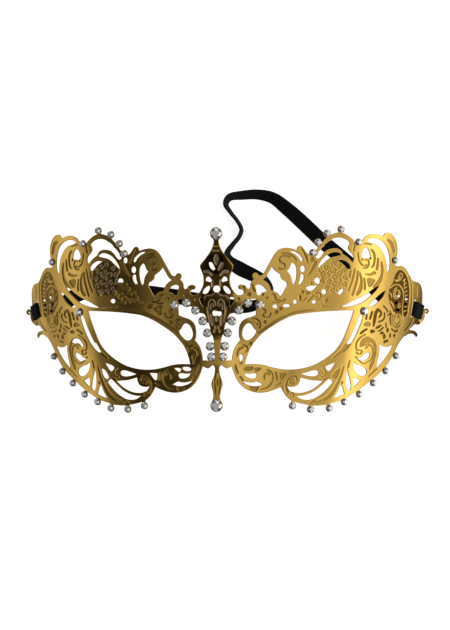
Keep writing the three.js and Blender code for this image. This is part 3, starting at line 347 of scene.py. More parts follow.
# The strap's route from the left rail to the right one: x, y, and how far its width leans from flat, in
# degrees. Its lowest edge keeps the same height above the table.
STRAP_LOW = 0.15
STRAP_ROUTE = [(-73, 11, 0), (-67, 13.4, 0), (-57, 14.4, 0), (-46, 13.8, 0), (-37, 12.7, 0), (-28, 11.5, 0),
    (-20, 10.2, 0), (-12, 8.8, 5), (-4.6, 7.4, 10), (4, 6.1, 20), (11.5, 6.1, 38), (18, 8.6, 62),
    (21.4, 13.4, 75), (19, 18, 62), (12.4, 21.2, 24), (6.6, 24.1, 14), (1.9, 27.5, 46), (0.9, 31.2, 74),
    (3.5, 35.3, 80), (6.5, 38.9, 82), (7.7, 42.4, 82), (6, 46.2, 82), (2.6, 50.6, 80), (0.3, 54.6, 76),
    (2, 57.7, 68), (8, 58.7, 58), (15.4, 59, 52), (22.4, 57.4, 40), (28.6, 52.8, 22), (36, 46.2, 8),
    (45, 37.6, 0), (56, 28.2, 0), (66, 19.4, 0), (72.5, 12.6, 0)]

# Half-etched grooves of both halves, by region: lines through points of (u, v, width).
GROOVES = {
    "nose": [
        [(8, -20.3, 0.4), (8.4, -22.3, 0.7), (9.2, -24, 0.5)],
        [(10.3, -25.7, 0.6), (11.2, -27, 0.7), (12, -28.3, 0.4)],
        [(11.5, -12.3, 0.5), (10, -12.9, 0.9), (9.1, -14, 0.7), (8.8, -16.2, 0.4)],
        [(11.4, -11.3, 0.4), (12.9, -12, 0.5), (13.5, -13.3, 0.5), (12.8, -14.3, 0.6)],
        even(0.5, (19.8, -31.4), (22, -30.7), (23.8, -29.3), (24.9, -27.2), (24.9, -25), (24, -23.4),
             (22.6, -22.7)),
        even(0.5, (21.1, -26.6), (21.1, -25.2), (21.8, -24.2), (22.8, -24.1), (23.4, -24.8)),
        [(26.3, -23.9, 0.8), (26.5, -25.5, 1), (26.8, -27.2, 0.6)],
        [(26.8, -29.6, 0.5), (28.5, -28.4, 0.7)],
    ],
    "cheek": [
        [(31.9, -32.8, 1), (31.2, -30.6, 1.1), (31.3, -28.2, 0.9), (32.3, -26.5, 0.8), (33.8, -25.5, 0.7),
         (35.6, -25.8, 0.7), (36.3, -27.6, 0.5)],
        even(0.5, (35, -28.6), (33.6, -28.9), (32.8, -27.9), (33.4, -26.9), (34.4, -27.1)),
        even(0.5, (48.5, -22), (49.6, -22.2), (50.1, -23.5), (49.9, -25), (48.8, -25.8), (47.8, -26)),
        even(0.7, (49.2, -27.2), (50.5, -26.3)),
        [(46.5, -36.8, 0.6), (50, -35.9, 1.3), (53.5, -33.4, 1.5), (56.2, -29.6, 1.1), (58.2, -25.6, 0.8),
         (59.6, -21.4, 0.5)],
        [(42.2, -37.8, 0.4), (43.8, -37, 0.8), (46, -37.4, 0.6)],
        [(58.3, -14.3, 1), (53.8, -17.4, 0.4)],
        [(62.1, -21.8, 0.6), (62.9, -18.7, 0.4)],
    ],
    "shell": [
        [(69, -12, 1), (70.3, -10, 1.7), (73, -8.8, 1.7), (75.8, -9.7, 1.6), (77.6, -12, 1.2),
         (78, -15, 0.9), (77.2, -18.2, 0.9), (75.7, -21, 1.5), (74.9, -23, 0.5)],
        even(0.5, (72, -13.2), (73.3, -12.2), (74.3, -12)),
        even(0.5, (71.5, -11.8), (73.5, -11.2), (75.5, -12.2), (76.5, -14.2), (76.3, -16.8), (75, -18.8),
             (72.5, -20)),
        even(0.5, (69, -7.8), (67, -9.8), (66.3, -12), (67, -14), (68.8, -14), (69.7, -14.5), (69.2, -15.6),
             (67.8, -15.8), (66.6, -15)),
        even(0.4, (66.2, -17), (67.2, -17.8), (70, -19.8), (72, -20.3)),
        [(74.5, -26.2, 0.5), (77, -24.5, 0.7), (79.3, -22.9, 0.8)],
        even(0.5, (69, -8), (71.5, -6.8)),
    ],
    "temple": [
        even(0.7, (72.2, 3), (71.8, 0.3)),
        even(0.9, (75.2, 3.5), (74.1, 0.4)),
        [(76.3, -2.9, 0.8), (76.8, 0, 1.6), (77.4, 2.8, 1.5), (78.7, 4.4, 1.5), (80.2, 3.9, 1),
         (80.7, 2.4, 0.9), (79.8, 1.2, 0.8)],
        even(0.7, (82.8, 3), (82.9, 1), (81.8, -0.5), (79.5, -1)),
        even(0.7, (82.3, 6.2), (84, 5), (84.8, 3.5)),
        even(0.6, (86.5, 4), (86.4, 2.5), (85.3, 2)),
        [(77.9, -3.9, 0.7), (79.3, -3.5, 1.2), (81.2, -2.6, 0.4)],
        [(79.3, -5.4, 0.4), (81, -4.8, 0.7), (82.2, -3.7, 0.8)],
        [(68.8, -6.3, 0.8), (70.5, -5.2, 0.9), (72.3, -4.4, 0.8)],
        even(0.7, (84, -1.8), (84.3, -3.5)),
        even(1, (83.5, -10.4), (85.7, -9.8)),
        [(87.2, 3, 0.6), (86.6, 0, 0.7), (87.5, -2.5, 0.6)],
        [(88, -4.3, 0.6), (90.5, -5.5, 0.7), (92.5, -5.2, 0.6)],
        [(98.6, 19.6, 0.3), (100.5, 16, 0.5), (101.2, 11, 0.55), (101.3, 6, 0.55), (100.9, 2, 0.4)],
        [(104.2, 15.8, 0.5), (104.6, 13, 0.55), (104.9, 10.6, 0.5)],
        [(103.6, 0, 0.5), (102, -2, 0.6), (99, -4.5, 0.6), (97.5, -5.3, 0.4)],
    ],
    "brow": [
        [(18, -5.6, 0.8), (20.5, -4.2, 1.3), (24.5, -1.5, 1.4), (28.5, 0.6, 1.3), (33, 2.6, 1.1),
         (38, 3.9, 0.8), (44.5, 4.5, 0.3)],
        [(48, 6.2, 0.4), (52, 6.2, 0.5), (58, 6, 0.8)],
        even(0.5, (20.4, 4.9), (21.4, 4.5), (21.6, 3.5), (20.6, 2.8), (20.5, 1.9), (21.6, 1.2), (23, 1.3),
             (23.8, 2.2), (24, 3.1)),
        even(0.5, (24.9, 11.8), (25.9, 11.2), (26.2, 10), (26.7, 9.1), (28.2, 8.7), (30, 8.4)),
        even(0.4, (25, 7.9), (28, 7.8)),
        even(0.5, (15, 0.4), (17, 0.4), (18.6, -0.5), (19.2, -2), (18.8, -3.4), (18, -3.6)),
        even(1, (37.5, 10.8), (37.8, 9)),
        even(0.7, (40.5, 9.8), (38.8, 8.4)),
        even(0.9, (43.8, 10.8), (41.2, 8.2)),
        even(0.6, (45, 12.3), (46.8, 12.1), (47.6, 10.8), (47, 9.6), (45.8, 9.5), (45.3, 10.2)),
    ],
    "crown": [
        even(0.5, (29.5, 30.2), (32, 29.9), (34.5, 28.6), (36, 26.8)),
        even(0.55, (32.9, 28.3), (31, 28.9), (29.2, 28.6), (28.1, 27.3), (28.6, 26.1), (30, 25.4),
             (30.6, 24.3), (30, 23.1), (28.9, 22.9), (28, 23.3)),
        even(0.5, (15.8, 16), (16.2, 14.2), (17, 12.8)),
        [(38.5, 32, 0.7), (40, 29.4, 0.9), (41.3, 26, 0.6)],
        [(45, 26, 1.6), (43.8, 23.5, 1.3), (42.4, 21.3, 1), (41.4, 20.2, 0.5)],
        even(0.6, (46.6, 22.5), (47.8, 20.5), (48.6, 18), (49.3, 16.5)),
    ],
    "wing": [
        even(0.5, (66.5, 30.5), (67, 27.5), (68.3, 25.4), (70, 24.6), (71.2, 25)),
        even(0.5, (70.5, 27.3), (72, 27.3), (72.6, 26), (72.2, 24.6), (71, 23.6), (69.5, 23.6)),
        [(74, 32, 0.6), (75.3, 30.5, 0.8), (75.8, 28.3, 0.8), (75.7, 26.3, 0.7), (75, 24.5, 0.6),
         (74.2, 24, 0.4)],
        [(77.8, 28, 0.6), (77.6, 25, 0.9), (77.3, 23.2, 1)],
        [(79.8, 26.5, 0.5), (80.4, 23.5, 1.1), (80.2, 20, 1.1), (79, 17.6, 1.7), (77, 15.7, 1.4),
         (75.4, 15, 0.4)],
        [(71, 20.9, 0.4), (73.5, 20.6, 0.9), (76, 21.4, 1.3)],
        [(62.5, 22, 0.9), (62.2, 19.5, 0.8)],
        [(64.9, 23.3, 0.5), (64.3, 20.5, 0.7), (63.3, 17, 0.6), (61.5, 13, 0.4)],
        [(66.5, 22, 0.6), (66.2, 18.5, 0.8), (65, 14.5, 0.9), (63.8, 11.3, 0.7)],
        [(67.6, 21.3, 0.4), (68.5, 18.5, 0.8), (68.5, 16, 1.3), (67.8, 13.5, 1.6), (66.3, 11.6, 1)],
        [(70.1, 19, 0.4), (70.6, 16, 0.7), (70.5, 14, 0.9)],
        even(0.6, (64.5, 35), (64.6, 33), (64, 31.4)),
        [(70, 34.8, 0.6), (72, 34.7, 0.7), (73.7, 34.5, 0.4)],
        [(83.6, 36.6, 0.9), (85, 36, 1.4), (86.3, 34, 1.3), (87.4, 31.3, 1)],
    ],
    "pendant": [
        [(5.3, 22, 1.2), (3.5, 21.8, 1.2), (2, 20.5, 0.8)],
        [(2, 17.8, 0.8), (1.8, 15.6, 1)],
        even(0.5, (-0.6, 33.4), (0.9, 33.4)),
        even(0.5, (-0.8, 31.4), (1.2, 31.4)),
        [(4.3, 6, 0.5), (3.9, 3, 0.6), (3, -1, 0.5)],
        [(2.4, 2, 1.3), (1.9, -1.8, 1.1)],
        even(1.2, (1.2, 22.9), (2.6, 25.4)),
        [(0.5, 6.6, 0.45), (0.8, 8.4, 0.5), (2.2, 9.4, 0.55), (3.5, 7.8, 0.55), (3.5, 5.2, 0.45)],
        [(1.3, 6.2, 0.4), (1.7, 7.5, 0.45), (2.5, 6.9, 0.4), (2.6, 5.2, 0.4)],
        [(0.6, 12.4, 0.4), (2.2, 11.3, 0.5), (4.4, 11.1, 0.5), (5.6, 9.8, 0.4)],
        [(0.9, -24.2, 0.4), (1.2, -28.6, 0.5), (0.7, -33.2, 0.4)],
    ],
}

# The temple panels' half-etched ground, and what stands up in it: curls as lines through (u, v, width),
# scrolls as below, and leaves in a row that bows towards its ends.
PANEL_GROUND = [(87.5, 17), (88.8, 20.5), (91, 22.6), (93.5, 22.6), (96, 20.8), (98, 17.5), (99.1, 13.5),
    (99.3, 9), (98.9, 5), (98.2, 1.6), (95.6, 1.6), (93.4, 3), (90.5, 3), (88, 5), (85.9, 8), (85, 11.5),
    (85.8, 14.8)]
PANEL_CURLS = [
    [(86.2, 14.6, 0.7), (88.6, 16, 0.7), (91.8, 15.9, 0.8), (94.3, 13.8, 0.8), (95.2, 10.6, 0.7),
     (94.8, 7.4, 0.6), (94.9, 4, 0.7), (95.6, 1.4, 0.7)],
    [(88.6, 18.2, 0.5), (90.6, 18, 1.3), (92.8, 18.5, 0.8)],
    [(94.9, 18.2, 0.4), (95.4, 16.6, 1.1), (95.2, 15.2, 0.5)],
    [(86.2, 8.6, 0.5), (87.9, 7.2, 0.9), (89, 5.2, 0.5)],
    [(85.5, 12.6, 0.4), (86.6, 11.6, 0.9), (87.2, 10, 0.5)],
]
PANEL_SCROLLS = [
    (90.6, 11.9, 2.8, 100, 1.8, 0.72), (92.4, 20.4, 1.7, 200, 1.2, 0.65), (92.6, 6.2, 1.3, 60, 1.1, 0.6),
]
PANEL_LEAVES = {"u": 97.35, "bow": 0.02, "middle": 8, "from": 3.9, "to": 18.4, "count": 9}

# Half-etched patches of both halves.
PATCHES = {
    "nose_wedge": [(14.5, -30.2), (18.5, -30.2), (18.2, -31.2), (17.5, -32.1), (15.8, -31.8)],
    "temple_wedge": [(70.5, -2.4), (72.8, -1), (74, -1.5), (74.1, -3)],
    "wing_wedge": [(72.2, 18.9), (76.2, 18.1), (75, 16.3), (73.2, 15), (72.4, 16.5)],
    "pendant_drop": [(0, 29.6), (0.9, 28.6), (1.2, 27.2), (0.8, 25.8), (0, 24.6), (-0.8, 25.8),
        (-1.2, 27.2), (-0.9, 28.6)],
    "tip_diamond": [(0, -26.4, 1), (0.7, -28, 1), (0, -29.6, 1), (-0.7, -28, 1)],
}

# Half-etched dots of both halves: centre u, v, then half width and half height.
DOTS = [(10.5, -19.3, 0.5, 0.5), (14.6, -10.8, 0.8, 0.8), (58.8, -28.7, 0.5, 0.5), (75.8, -5.4, 1.4, 0.8),
    (81.8, -6.2, 1.2, 0.6), (83.3, -7.8, 0.8, 1.2), (85.3, -4.9, 0.8, 1), (87.2, -7.5, 0.5, 1.2),
    (90.2, -7.5, 0.9, 0.6), (89.8, 4.2, 1.6, 0.6), (17.9, -1.9, 0.5, 0.5), (28.5, 5, 0.8, 0.8),
    (26.5, 3.5, 0.9, 0.9), (21.2, -0.9, 0.7, 0.7), (22.4, 9.9, 0.45, 0.45), (9.6, 9.4, 0.5, 0.5),
    (14.3, 11.4, 0.8, 0.8), (20.5, 11.3, 0.5, 0.5), (30.4, 9, 0.5, 0.5), (38.8, 12.6, 0.8, 0.8),
    (41.2, 12.1, 1.2, 0.7), (43, 16.5, 0.6, 0.6), (68.8, 27.5, 0.4, 0.4), (73.4, 28, 0.4, 0.4),
    (0.7, -3.2, 0.45, 0.7), (1.2, -4.9, 0.4, 0.7), (0, 0.5, 0.6, 1)]

# Spiral scrolls of both halves: centre u, v, outer radius, start in degrees, turns, groove width.
SCROLLS = [
    (11.5, 14.3, 1.4, 200, 0.8, 0.5), (92, 0, 4.2, 150, 1.9, 0.7), (33.6, -33.6, 1.2, 300, 0.6, 0.5),
]


# ---- flat curves and distances ----------------------------------------------------------------------


def unit(vectors):
    return vectors / np.linalg.norm(vectors, axis=-1, keepdims=True)


def curve_through(points, closed=False, steps=CURVE_STEPS):
    """Samples of the centripetal Catmull-Rom curve through points of any dimension."""
    p = np.asarray(points, float)
    if closed:
        padded = np.vstack([p[-1], p, p[0], p[1]])
    else:
        padded = np.vstack([2 * p[0] - p[1], p, 2 * p[-1] - p[-2]])
    spans = []
    for a, b, c, d in zip(padded, padded[1:], padded[2:], padded[3:]):
        gap0, gap1, gap2 = (max(float(np.linalg.norm(gap)) ** 0.5, 1e-4) for gap in (b - a, c - b, d - c))
        out = ((b - a) / gap0 - (c - a) / (gap0 + gap1) + (c - b) / gap1) * gap1
        arrive = ((c - b) / gap1 - (d - b) / (gap1 + gap2) + (d - c) / gap2) * gap1
        t = np.arange(steps)[:, None] / steps
        bend = 3 * (c - b) - 2 * out - arrive
        twist = 2 * (b - c) + out + arrive
        spans.append(b + out * t + bend * t**2 + twist * t**3)
    samples = np.vstack(spans)
    return samples if closed else np.vstack([samples, p[-1]])


def line_through(points):
    """A curve through three or more points, or the straight line between two."""
    return curve_through(points) if len(points) > 2 else np.array(points, float)


def loop_through(points):
    """A closed outline: smooth between its points, and sharp at those whose third value is 1."""
    flat = [p[:2] for p in points]
    corners = [i for i, p in enumerate(points) if len(p) > 2]
    if not corners:
        return curve_through(flat, closed=True)
    count = len(points)
    runs = []
    for i, start in enumerate(corners):
        end = corners[(i + 1) % len(corners)]
        length = (end - start) % count or count
        run = [flat[(start + k) % count] for k in range(length + 1)]
        runs.append(line_through(run)[:-1])
    return np.vstack(runs)


def oval_loop(u, v, half_width, half_height):
    turn = np.linspace(0, 2 * math.pi, OVAL_STEPS, endpoint=False)
    return np.column_stack([u + half_width * np.cos(turn), v + half_height * np.sin(turn)])


def scroll_line(u, v, radius, start, turns, width):
    """A spiral groove that winds in to about a third of its radius."""
    share = np.linspace(0, 1, int(10 * abs(turns)) + 4)
    turn = math.radians(start) + 2 * math.pi * turns * share
    reach = radius * (1 - SCROLL_WINDING * share)
    return np.column_stack([u + reach * np.cos(turn), v + reach * np.sin(turn), np.full(len(share), width)])


class Field:
    """Distances to shapes over the grid of one half, in millimetres, negative inside a shape."""

    def __init__(self, us, vs):
        self.us = us
        self.vs = vs

    def blank(self):
        """A field with nothing in it."""
        return np.full((len(self.us), len(self.vs)), BAND)

    def window(self, a, b, margin):
        """The part of the grid within a margin of the box round two points."""
        i0, i1 = np.searchsorted(self.us, [min(a[0], b[0]) - margin, max(a[0], b[0]) + margin])
        j0, j1 = np.searchsorted(self.vs, [min(a[1], b[1]) - margin, max(a[1], b[1]) + margin])
        return slice(i0, i1), slice(j0, j1)

    def along(self, area, a, b):
        """Share of the way from a to b at each grid point of an area, and its distance from that line."""
        u = self.us[area[0], None] - a[0]
        v = self.vs[None, area[1]] - a[1]
        du, dv = b[0] - a[0], b[1] - a[1]
        share = np.clip((u * du + v * dv) / max(du * du + dv * dv, 1e-12), 0, 1)
        return share, np.hypot(u - share * du, v - share * dv)

    def outline(self, loop):
        """Distance to a closed outline of (u, v) points, by even-odd crossings."""
        distance = self.blank()
        inside = np.zeros(distance.shape, bool)
        for a, b in zip(loop, np.roll(loop, -1, axis=0)):
            area = self.window(a, b, BAND)
            distance[area] = np.minimum(distance[area], self.along(area, a, b)[1])
            if a[1] == b[1]:
                continue
            j0, j1 = np.searchsorted(self.vs, sorted((a[1], b[1])))
            cross = a[0] + (self.vs[j0:j1] - a[1]) * (b[0] - a[0]) / (b[1] - a[1])
            inside[:, j0:j1] ^= self.us[:, None] < cross[None, :]
        return np.where(inside, -distance, distance)

    def line(self, points):
        """Distance to the edge of a line of changing width through (u, v, width) points."""
        distance = self.blank()
        for a, b in zip(points, points[1:]):
            area = self.window(a, b, BAND + max(a[2], b[2]) / 2)
            share, away = self.along(area, a, b)
            distance[area] = np.minimum(distance[area], away - (a[2] + share * (b[2] - a[2])) / 2)
        return distance


def union(fields):
    return np.minimum.reduce(list(fields))


def fillet(a, b, size):
    """Union of two fields with a rounded inner corner."""
    blend = np.clip(0.5 + 0.5 * (b - a) / size, 0, 1)
    return b * (1 - blend) + a * blend - size * blend * (1 - blend)


# ---- the etched pattern -----------------------------------------------------------------------------


def shapes(field, loops, ovals, lines=()):
    """Distances to closed outlines, to ovals and to lines that are already curves."""
    closed = [loop_through(loop) for loop in loops] + [oval_loop(*oval) for oval in ovals]
    return [field.outline(loop) for loop in closed] + [field.line(line) for line in lines]


def metal_field(field, side):
    """Distance to the metal's edge on one half, negative in the metal."""
    loops = [*WINDOWS.values(), *SIDE_WINDOWS[side].values(), TREFOIL]
    ovals = [*OVALS["both"], *OVALS["centre"], *OVALS[side]]
    holes = union(shapes(field, loops, ovals))
    plate = np.maximum(field.outline(loop_through(SHEET_OUTLINE)), -holes)
    wires = union(field.line(curve_through(points)) for points in WIRES.values())
    metal = fillet(plate, wires, WIRE_FILLET)
    for _, u, v, radius, root_u, root_v in STONES:
        pad = field.outline(oval_loop(u, v, radius + PAD_MARGIN, radius + PAD_MARGIN))
        neck = field.line([(root_u, root_v, NECK_WIDTH), (u, v, NECK_WIDTH)])
        metal = fillet(metal, fillet(pad, neck, PAD_FILLET), PAD_FILLET)
    for _, u, v, radius in CENTRE_STONES:
        pad = field.outline(oval_loop(u, v, radius + PAD_MARGIN, radius + PAD_MARGIN))
        metal = fillet(metal, pad, CENTRE_FILLET)
    return metal


def disc_lines():
    """The close scrollwork of the brow disc, as spiral grooves."""
    lines = []
    for ring, (radius, count) in enumerate(DISC_RINGS):
        for k in range(count):
            turn = 2 * math.pi * (k + 0.5 * ring) / count
            u = DISC["u"] + radius * math.cos(turn)
            v = DISC["v"] + DISC["stretch"] * radius * math.sin(turn)
            turns = DISC_SPIRAL["turns"] - DISC_SPIRAL["fewer"] * (k % 3)
            start = math.degrees(turn) + 120 * k
            lines.append(scroll_line(u, v, DISC_SPIRAL["radius"], start, turns, DISC_SPIRAL["width"]))
    return lines


def panel_field(field):
    """Distance to the temple panel's half-etched ground, round the curls and leaves left standing in it."""
    standing = [curve_through(points) for points in PANEL_CURLS]
    standing += [scroll_line(*scroll) for scroll in PANEL_SCROLLS]
    for v in np.linspace(PANEL_LEAVES["from"], PANEL_LEAVES["to"], PANEL_LEAVES["count"]):
        u = PANEL_LEAVES["u"] - PANEL_LEAVES["bow"] * (v - PANEL_LEAVES["middle"]) ** 2
        standing.append(curve_through([(u - 1.1, v - 0.5, 0.35), (u, v, 1), (u + 1.2, v + 0.35, 0.4)]))
    curls = union(field.line(line) for line in standing)
    return np.maximum(field.outline(loop_through(PANEL_GROUND)), -curls)


def temple_field(field):
    """Distance to the temple's etching, which the material paints dark as shade."""
    dots = [dot for dot in DOTS if dot[0] > TEMPLE_U]
    lines = [line_through(points) for points in GROOVES["temple"]]
    return union([panel_field(field)] + shapes(field, [], dots, lines))


def recess_field(field, side):
    """Distance to the edge of the half-etched areas on one half, negative in them."""
    other = "left" if side == "right" else "right"
    lines = [line_through(points) for region in GROOVES.values() for points in region]
    lines += [scroll_line(*scroll) for scroll in SCROLLS] + disc_lines()
    patches = [*PATCHES.values(), *SIDE_WINDOWS[other].values()]
    return union([panel_field(field)] + shapes(field, patches, [*DOTS, *OVALS[other]], lines))


def pattern():
    """Grid positions, and the metal, recess and temple distances over the whole flat sheet."""
    count = int(round(GRID_U / GRID_STEP))
    half = np.arange(count + 1) * GRID_STEP
    vs = np.arange(GRID_V[0], GRID_V[1] + GRID_STEP / 2, GRID_STEP) + GRID_SHIFT
    field = Field(half, vs)
    temple = temple_field(field)
    halves = {side: (metal_field(field, side), recess_field(field, side), np.maximum(temple, least))
              for side, least in TEMPLE_SHADE_LEAST.items()}
    whole = [np.vstack([halves["left"][k][:0:-1], halves["right"][k]]) for k in range(3)]
    return np.concatenate([-half[:0:-1], half]), vs, *whole


# ---- bending ----------------------------------------------------------------------------------------


def bell(x, half_width):
    return np.exp(-((x / half_width) ** 2))


def bend_points(u, v):
    """Places in the row frame, in millimetres, of the bent sheet's middle surface at flat points."""
    past = np.maximum(np.abs(u) - FLARE["start"], 0)
    levelled = v + (FLARE["v"] - v) * np.minimum(past / FLARE["radius"], 1)
    radius = BEND_RADIUS + RADIUS_GROWTH * levelled
    heading = np.minimum(np.abs(u), FLARE["start"]) / radius
    turned = np.minimum(past / FLARE["radius"], heading)
    end = heading - turned
    aside = radius * np.sin(heading) + FLARE["radius"] * (np.sin(heading) - np.sin(end) - turned) + past
    depth = radius * (1 - np.cos(heading)) + FLARE["radius"] * (np.cos(end) - np.cos(heading))
    for swell in (BRIDGE, RIDGE):
        upright = bell(v - swell["v"], swell["half_height"])
        depth = depth + swell["depth"] * bell(u, swell["half_width"]) * upright
    for end in (FINIAL, TIP):
        share = np.clip((v - end["start"]) / (end["end"] - end["start"]), 0, 1)
        depth = depth - end["lift"] * bell(u, end["half_width"]) * share
    return np.stack([np.sign(u) * aside, v - CENTRE_V, CROWN_HEIGHT - depth], axis=-1)


def bend_frames(u, v):
    """Place, direction along u, direction up the sheet and direction out of the face at flat points."""
    reach = 0.05
    along = bend_points(u + reach, v) - bend_points(u - reach, v)
    up = bend_points(u, v + reach) - bend_points(u, v - reach)
    along = unit(along)
    out = unit(np.cross(along, up))
    return bend_points(u, v), along, np.cross(out, along), out


# ---- meshes -----------------------------------------------------------------------------------------


def new_object(name, data):
    obj = bpy.data.objects.new(name, data)
    bpy.context.scene.collection.objects.link(obj)
    return obj


def pose(place, right, up, back):
    """The matrix that stands something at a place in metres, with its own axes along three directions."""
    turn = Matrix(np.column_stack([right, up, back]).tolist()).to_4x4()
    return Matrix.Translation(np.asarray(place).tolist()) @ turn


def mesh_from(name, points, faces, smooth=True):
    """A mesh in metres from points in millimetres and a list of (faces x corners) index arrays."""
    mesh = bpy.data.meshes.new(name)
    corners = np.concatenate([np.asarray(group).ravel() for group in faces])
    sizes = np.concatenate([np.full(len(group), np.asarray(group).shape[1]) for group in faces])
    mesh.vertices.add(len(points))
    mesh.vertices.foreach_set("co", (np.asarray(points) * MM).astype(np.float32).ravel())
    mesh.loops.add(len(corners))
    mesh.loops.foreach_set("vertex_index", corners.astype(np.int32))
    mesh.polygons.add(len(sizes))
    mesh.polygons.foreach_set("loop_start", (np.cumsum(sizes) - sizes).astype(np.int32))
    mesh.polygons.foreach_set("use_smooth", np.full(len(sizes), smooth))
    mesh.update(calc_edges=True)
    return mesh


def set_attribute(mesh, name, values, domain="POINT"):
    layer = mesh.attributes.new(name, "FLOAT", domain)
    layer.data.foreach_set("value", np.asarray(values, np.float32))


def marching_squares(us, vs, field):
    """Flat polygons of the area where the field is negative.

    Returns the vertices' (u, v), the polygons as arrays of equal corner counts, and the boundary's edges
    as pairs of vertices with the area on their left.
    """
    inside = field < 0
    node = np.cumsum(inside.ravel()).reshape(inside.shape) - 1
    points = [np.column_stack([g[inside] for g in np.meshgrid(us, vs, indexing="ij")])]
    count = len(points[0])
    edge_ids = []
    for axis in (0, 1):
        near = field[:-1] if axis == 0 else field[:, :-1]
        far = field[1:] if axis == 0 else field[:, 1:]
        i, j = np.nonzero((near < 0) != (far < 0))
        share = np.clip(near[i, j] / (near[i, j] - far[i, j]), CROSSING_MARGIN, 1 - CROSSING_MARGIN)
        step = np.diff(us)[0] * share if axis == 0 else np.diff(vs)[0] * share
        moved = (us[i] + step, vs[j]) if axis == 0 else (us[i], vs[j] + step)
        points.append(np.column_stack(moved))
        ids = np.full(near.shape, -1)
        ids[i, j] = count + np.arange(len(i))
        count += len(i)
        edge_ids.append(ids)
    corners = [node[:-1, :-1], node[1:, :-1], node[1:, 1:], node[:-1, 1:]]
    edges = [edge_ids[0][:, :-1], edge_ids[1][1:], edge_ids[0][:, 1:], edge_ids[1][:-1]]
    filled = [inside[:-1, :-1], inside[1:, :-1], inside[1:, 1:], inside[:-1, 1:]]
    case = sum(f.astype(int) << k for k, f in enumerate(filled))
    polygons = []
    boundary = []
    for code in range(1, 16):
        cells = case == code
        if not cells.any():
            continue
        walk = []
        for k in range(4):
            if code >> k & 1:
                walk.append((corners[k], False))
            if (code >> k & 1) != (code >> (k + 1) % 4 & 1):
                walk.append((edges[k], True))
        ring = [(ids[cells], crossing) for ids, crossing in walk]
        polygons.append(np.column_stack([ids for ids, _ in ring]))
        for (a, a_crosses), (b, b_crosses) in zip(ring, ring[1:] + ring[:1]):
            if a_crosses and b_crosses:
                boundary.append(np.column_stack([a, b]))
    return np.vstack(points), polygons, np.vstack(boundary)


def sampled(us, vs, grid, at):
    """Bilinear values of a grid at flat points."""
    x = (at[:, 0] - us[0]) / (us[1] - us[0])
    y = (at[:, 1] - vs[0]) / (vs[1] - vs[0])
    i = np.clip(x.astype(int), 0, len(us) - 2)
    j = np.clip(y.astype(int), 0, len(vs) - 2)
    fx, fy = x - i, y - j
    low = grid[i, j] * (1 - fx) + grid[i + 1, j] * fx
    high = grid[i, j + 1] * (1 - fx) + grid[i + 1, j + 1] * fx
    return low * (1 - fy) + high * fy


def smoothstep(t):
    t = np.clip(t, 0, 1)
    return t * t * (3 - 2 * t)


def painted_dark_reflection(flat):
    """Painted dark reflection at flat points of the sheet: on the pendant and on the left brow disc."""
    u, v = flat.T
    half_width = np.interp(v, *np.transpose(PENDANT_WIDTH))
    pendant = np.interp(v, *np.transpose(PENDANT_SHADE)) * smoothstep((half_width - np.abs(u)) / 0.4)
    disc = DISC["shade"] * smoothstep(DISC["radius"] - np.hypot(u + DISC["u"], v - DISC["v"]))
    return np.maximum(pendant, disc)


def sheet_mesh():
    us, vs, metal, recess, temple = pattern()
    flat, polygons, boundary = marching_squares(us, vs, metal + EDGE_ROUND)
    slope = np.gradient(metal, GRID_STEP)
    out = np.column_stack([sampled(us, vs, s, flat) for s in slope])
    out = out / np.maximum(np.linalg.norm(out, axis=1, keepdims=True), 1e-6)
    rim = np.unique(boundary)
    rim_index = np.full(len(flat), -1)
    rim_index[rim] = np.arange(len(rim))
    rim_flat = flat[rim] + EDGE_ROUND * out[rim]

    depth = sampled(us, vs, recess, flat)
    top = SHEET_THICKNESS / 2 - RECESS_DEPTH * smoothstep(0.5 - depth / RECESS_WALL)
    bottom = np.full(len(flat), -SHEET_THICKNESS / 2)
    side_top = top[rim] - EDGE_ROUND
    side_bottom = bottom[rim] + EDGE_ROUND * BACK_EDGE_SHARE

    rings = ((flat, top), (flat, bottom), (rim_flat, side_top), (rim_flat, side_bottom))
    points = []
    for ring, height in rings:
        at, _, _, normal = bend_frames(*ring.T)
        points.append(at + normal * height[:, None])
    count = len(flat)
    a, b = boundary.T
    edge_a, edge_b = (2 * count + rim_index[x] for x in (a, b))
    low_a, low_b = edge_a + len(rim), edge_b + len(rim)
    faces = polygons + [p[:, ::-1] + count for p in polygons]
    faces.append(np.column_stack([b, a, edge_a, edge_b]))
    faces.append(np.column_stack([edge_b, edge_a, low_a, low_b]))
    faces.append(np.column_stack([low_b, low_a, a + count, b + count]))
    mesh = mesh_from("mask_sheet_fine", np.vstack(points), faces)
    # The temple field carries the painted shade of the temple's etching, and the shade values carry the
    # painted dark reflection of the pendant and left brow disc.
    temple_shade = sampled(us, vs, temple, flat)
    shade = painted_dark_reflection(flat)
    for name, value, none in (("recess", depth, BAND), ("temple", temple_shade, BAND), ("shade", shade, 0)):
        back, low_rim = np.full(count, none), np.full(len(rim), none)
        set_attribute(mesh, name, np.concatenate([value, back, value[rim], low_rim]))
    return mesh


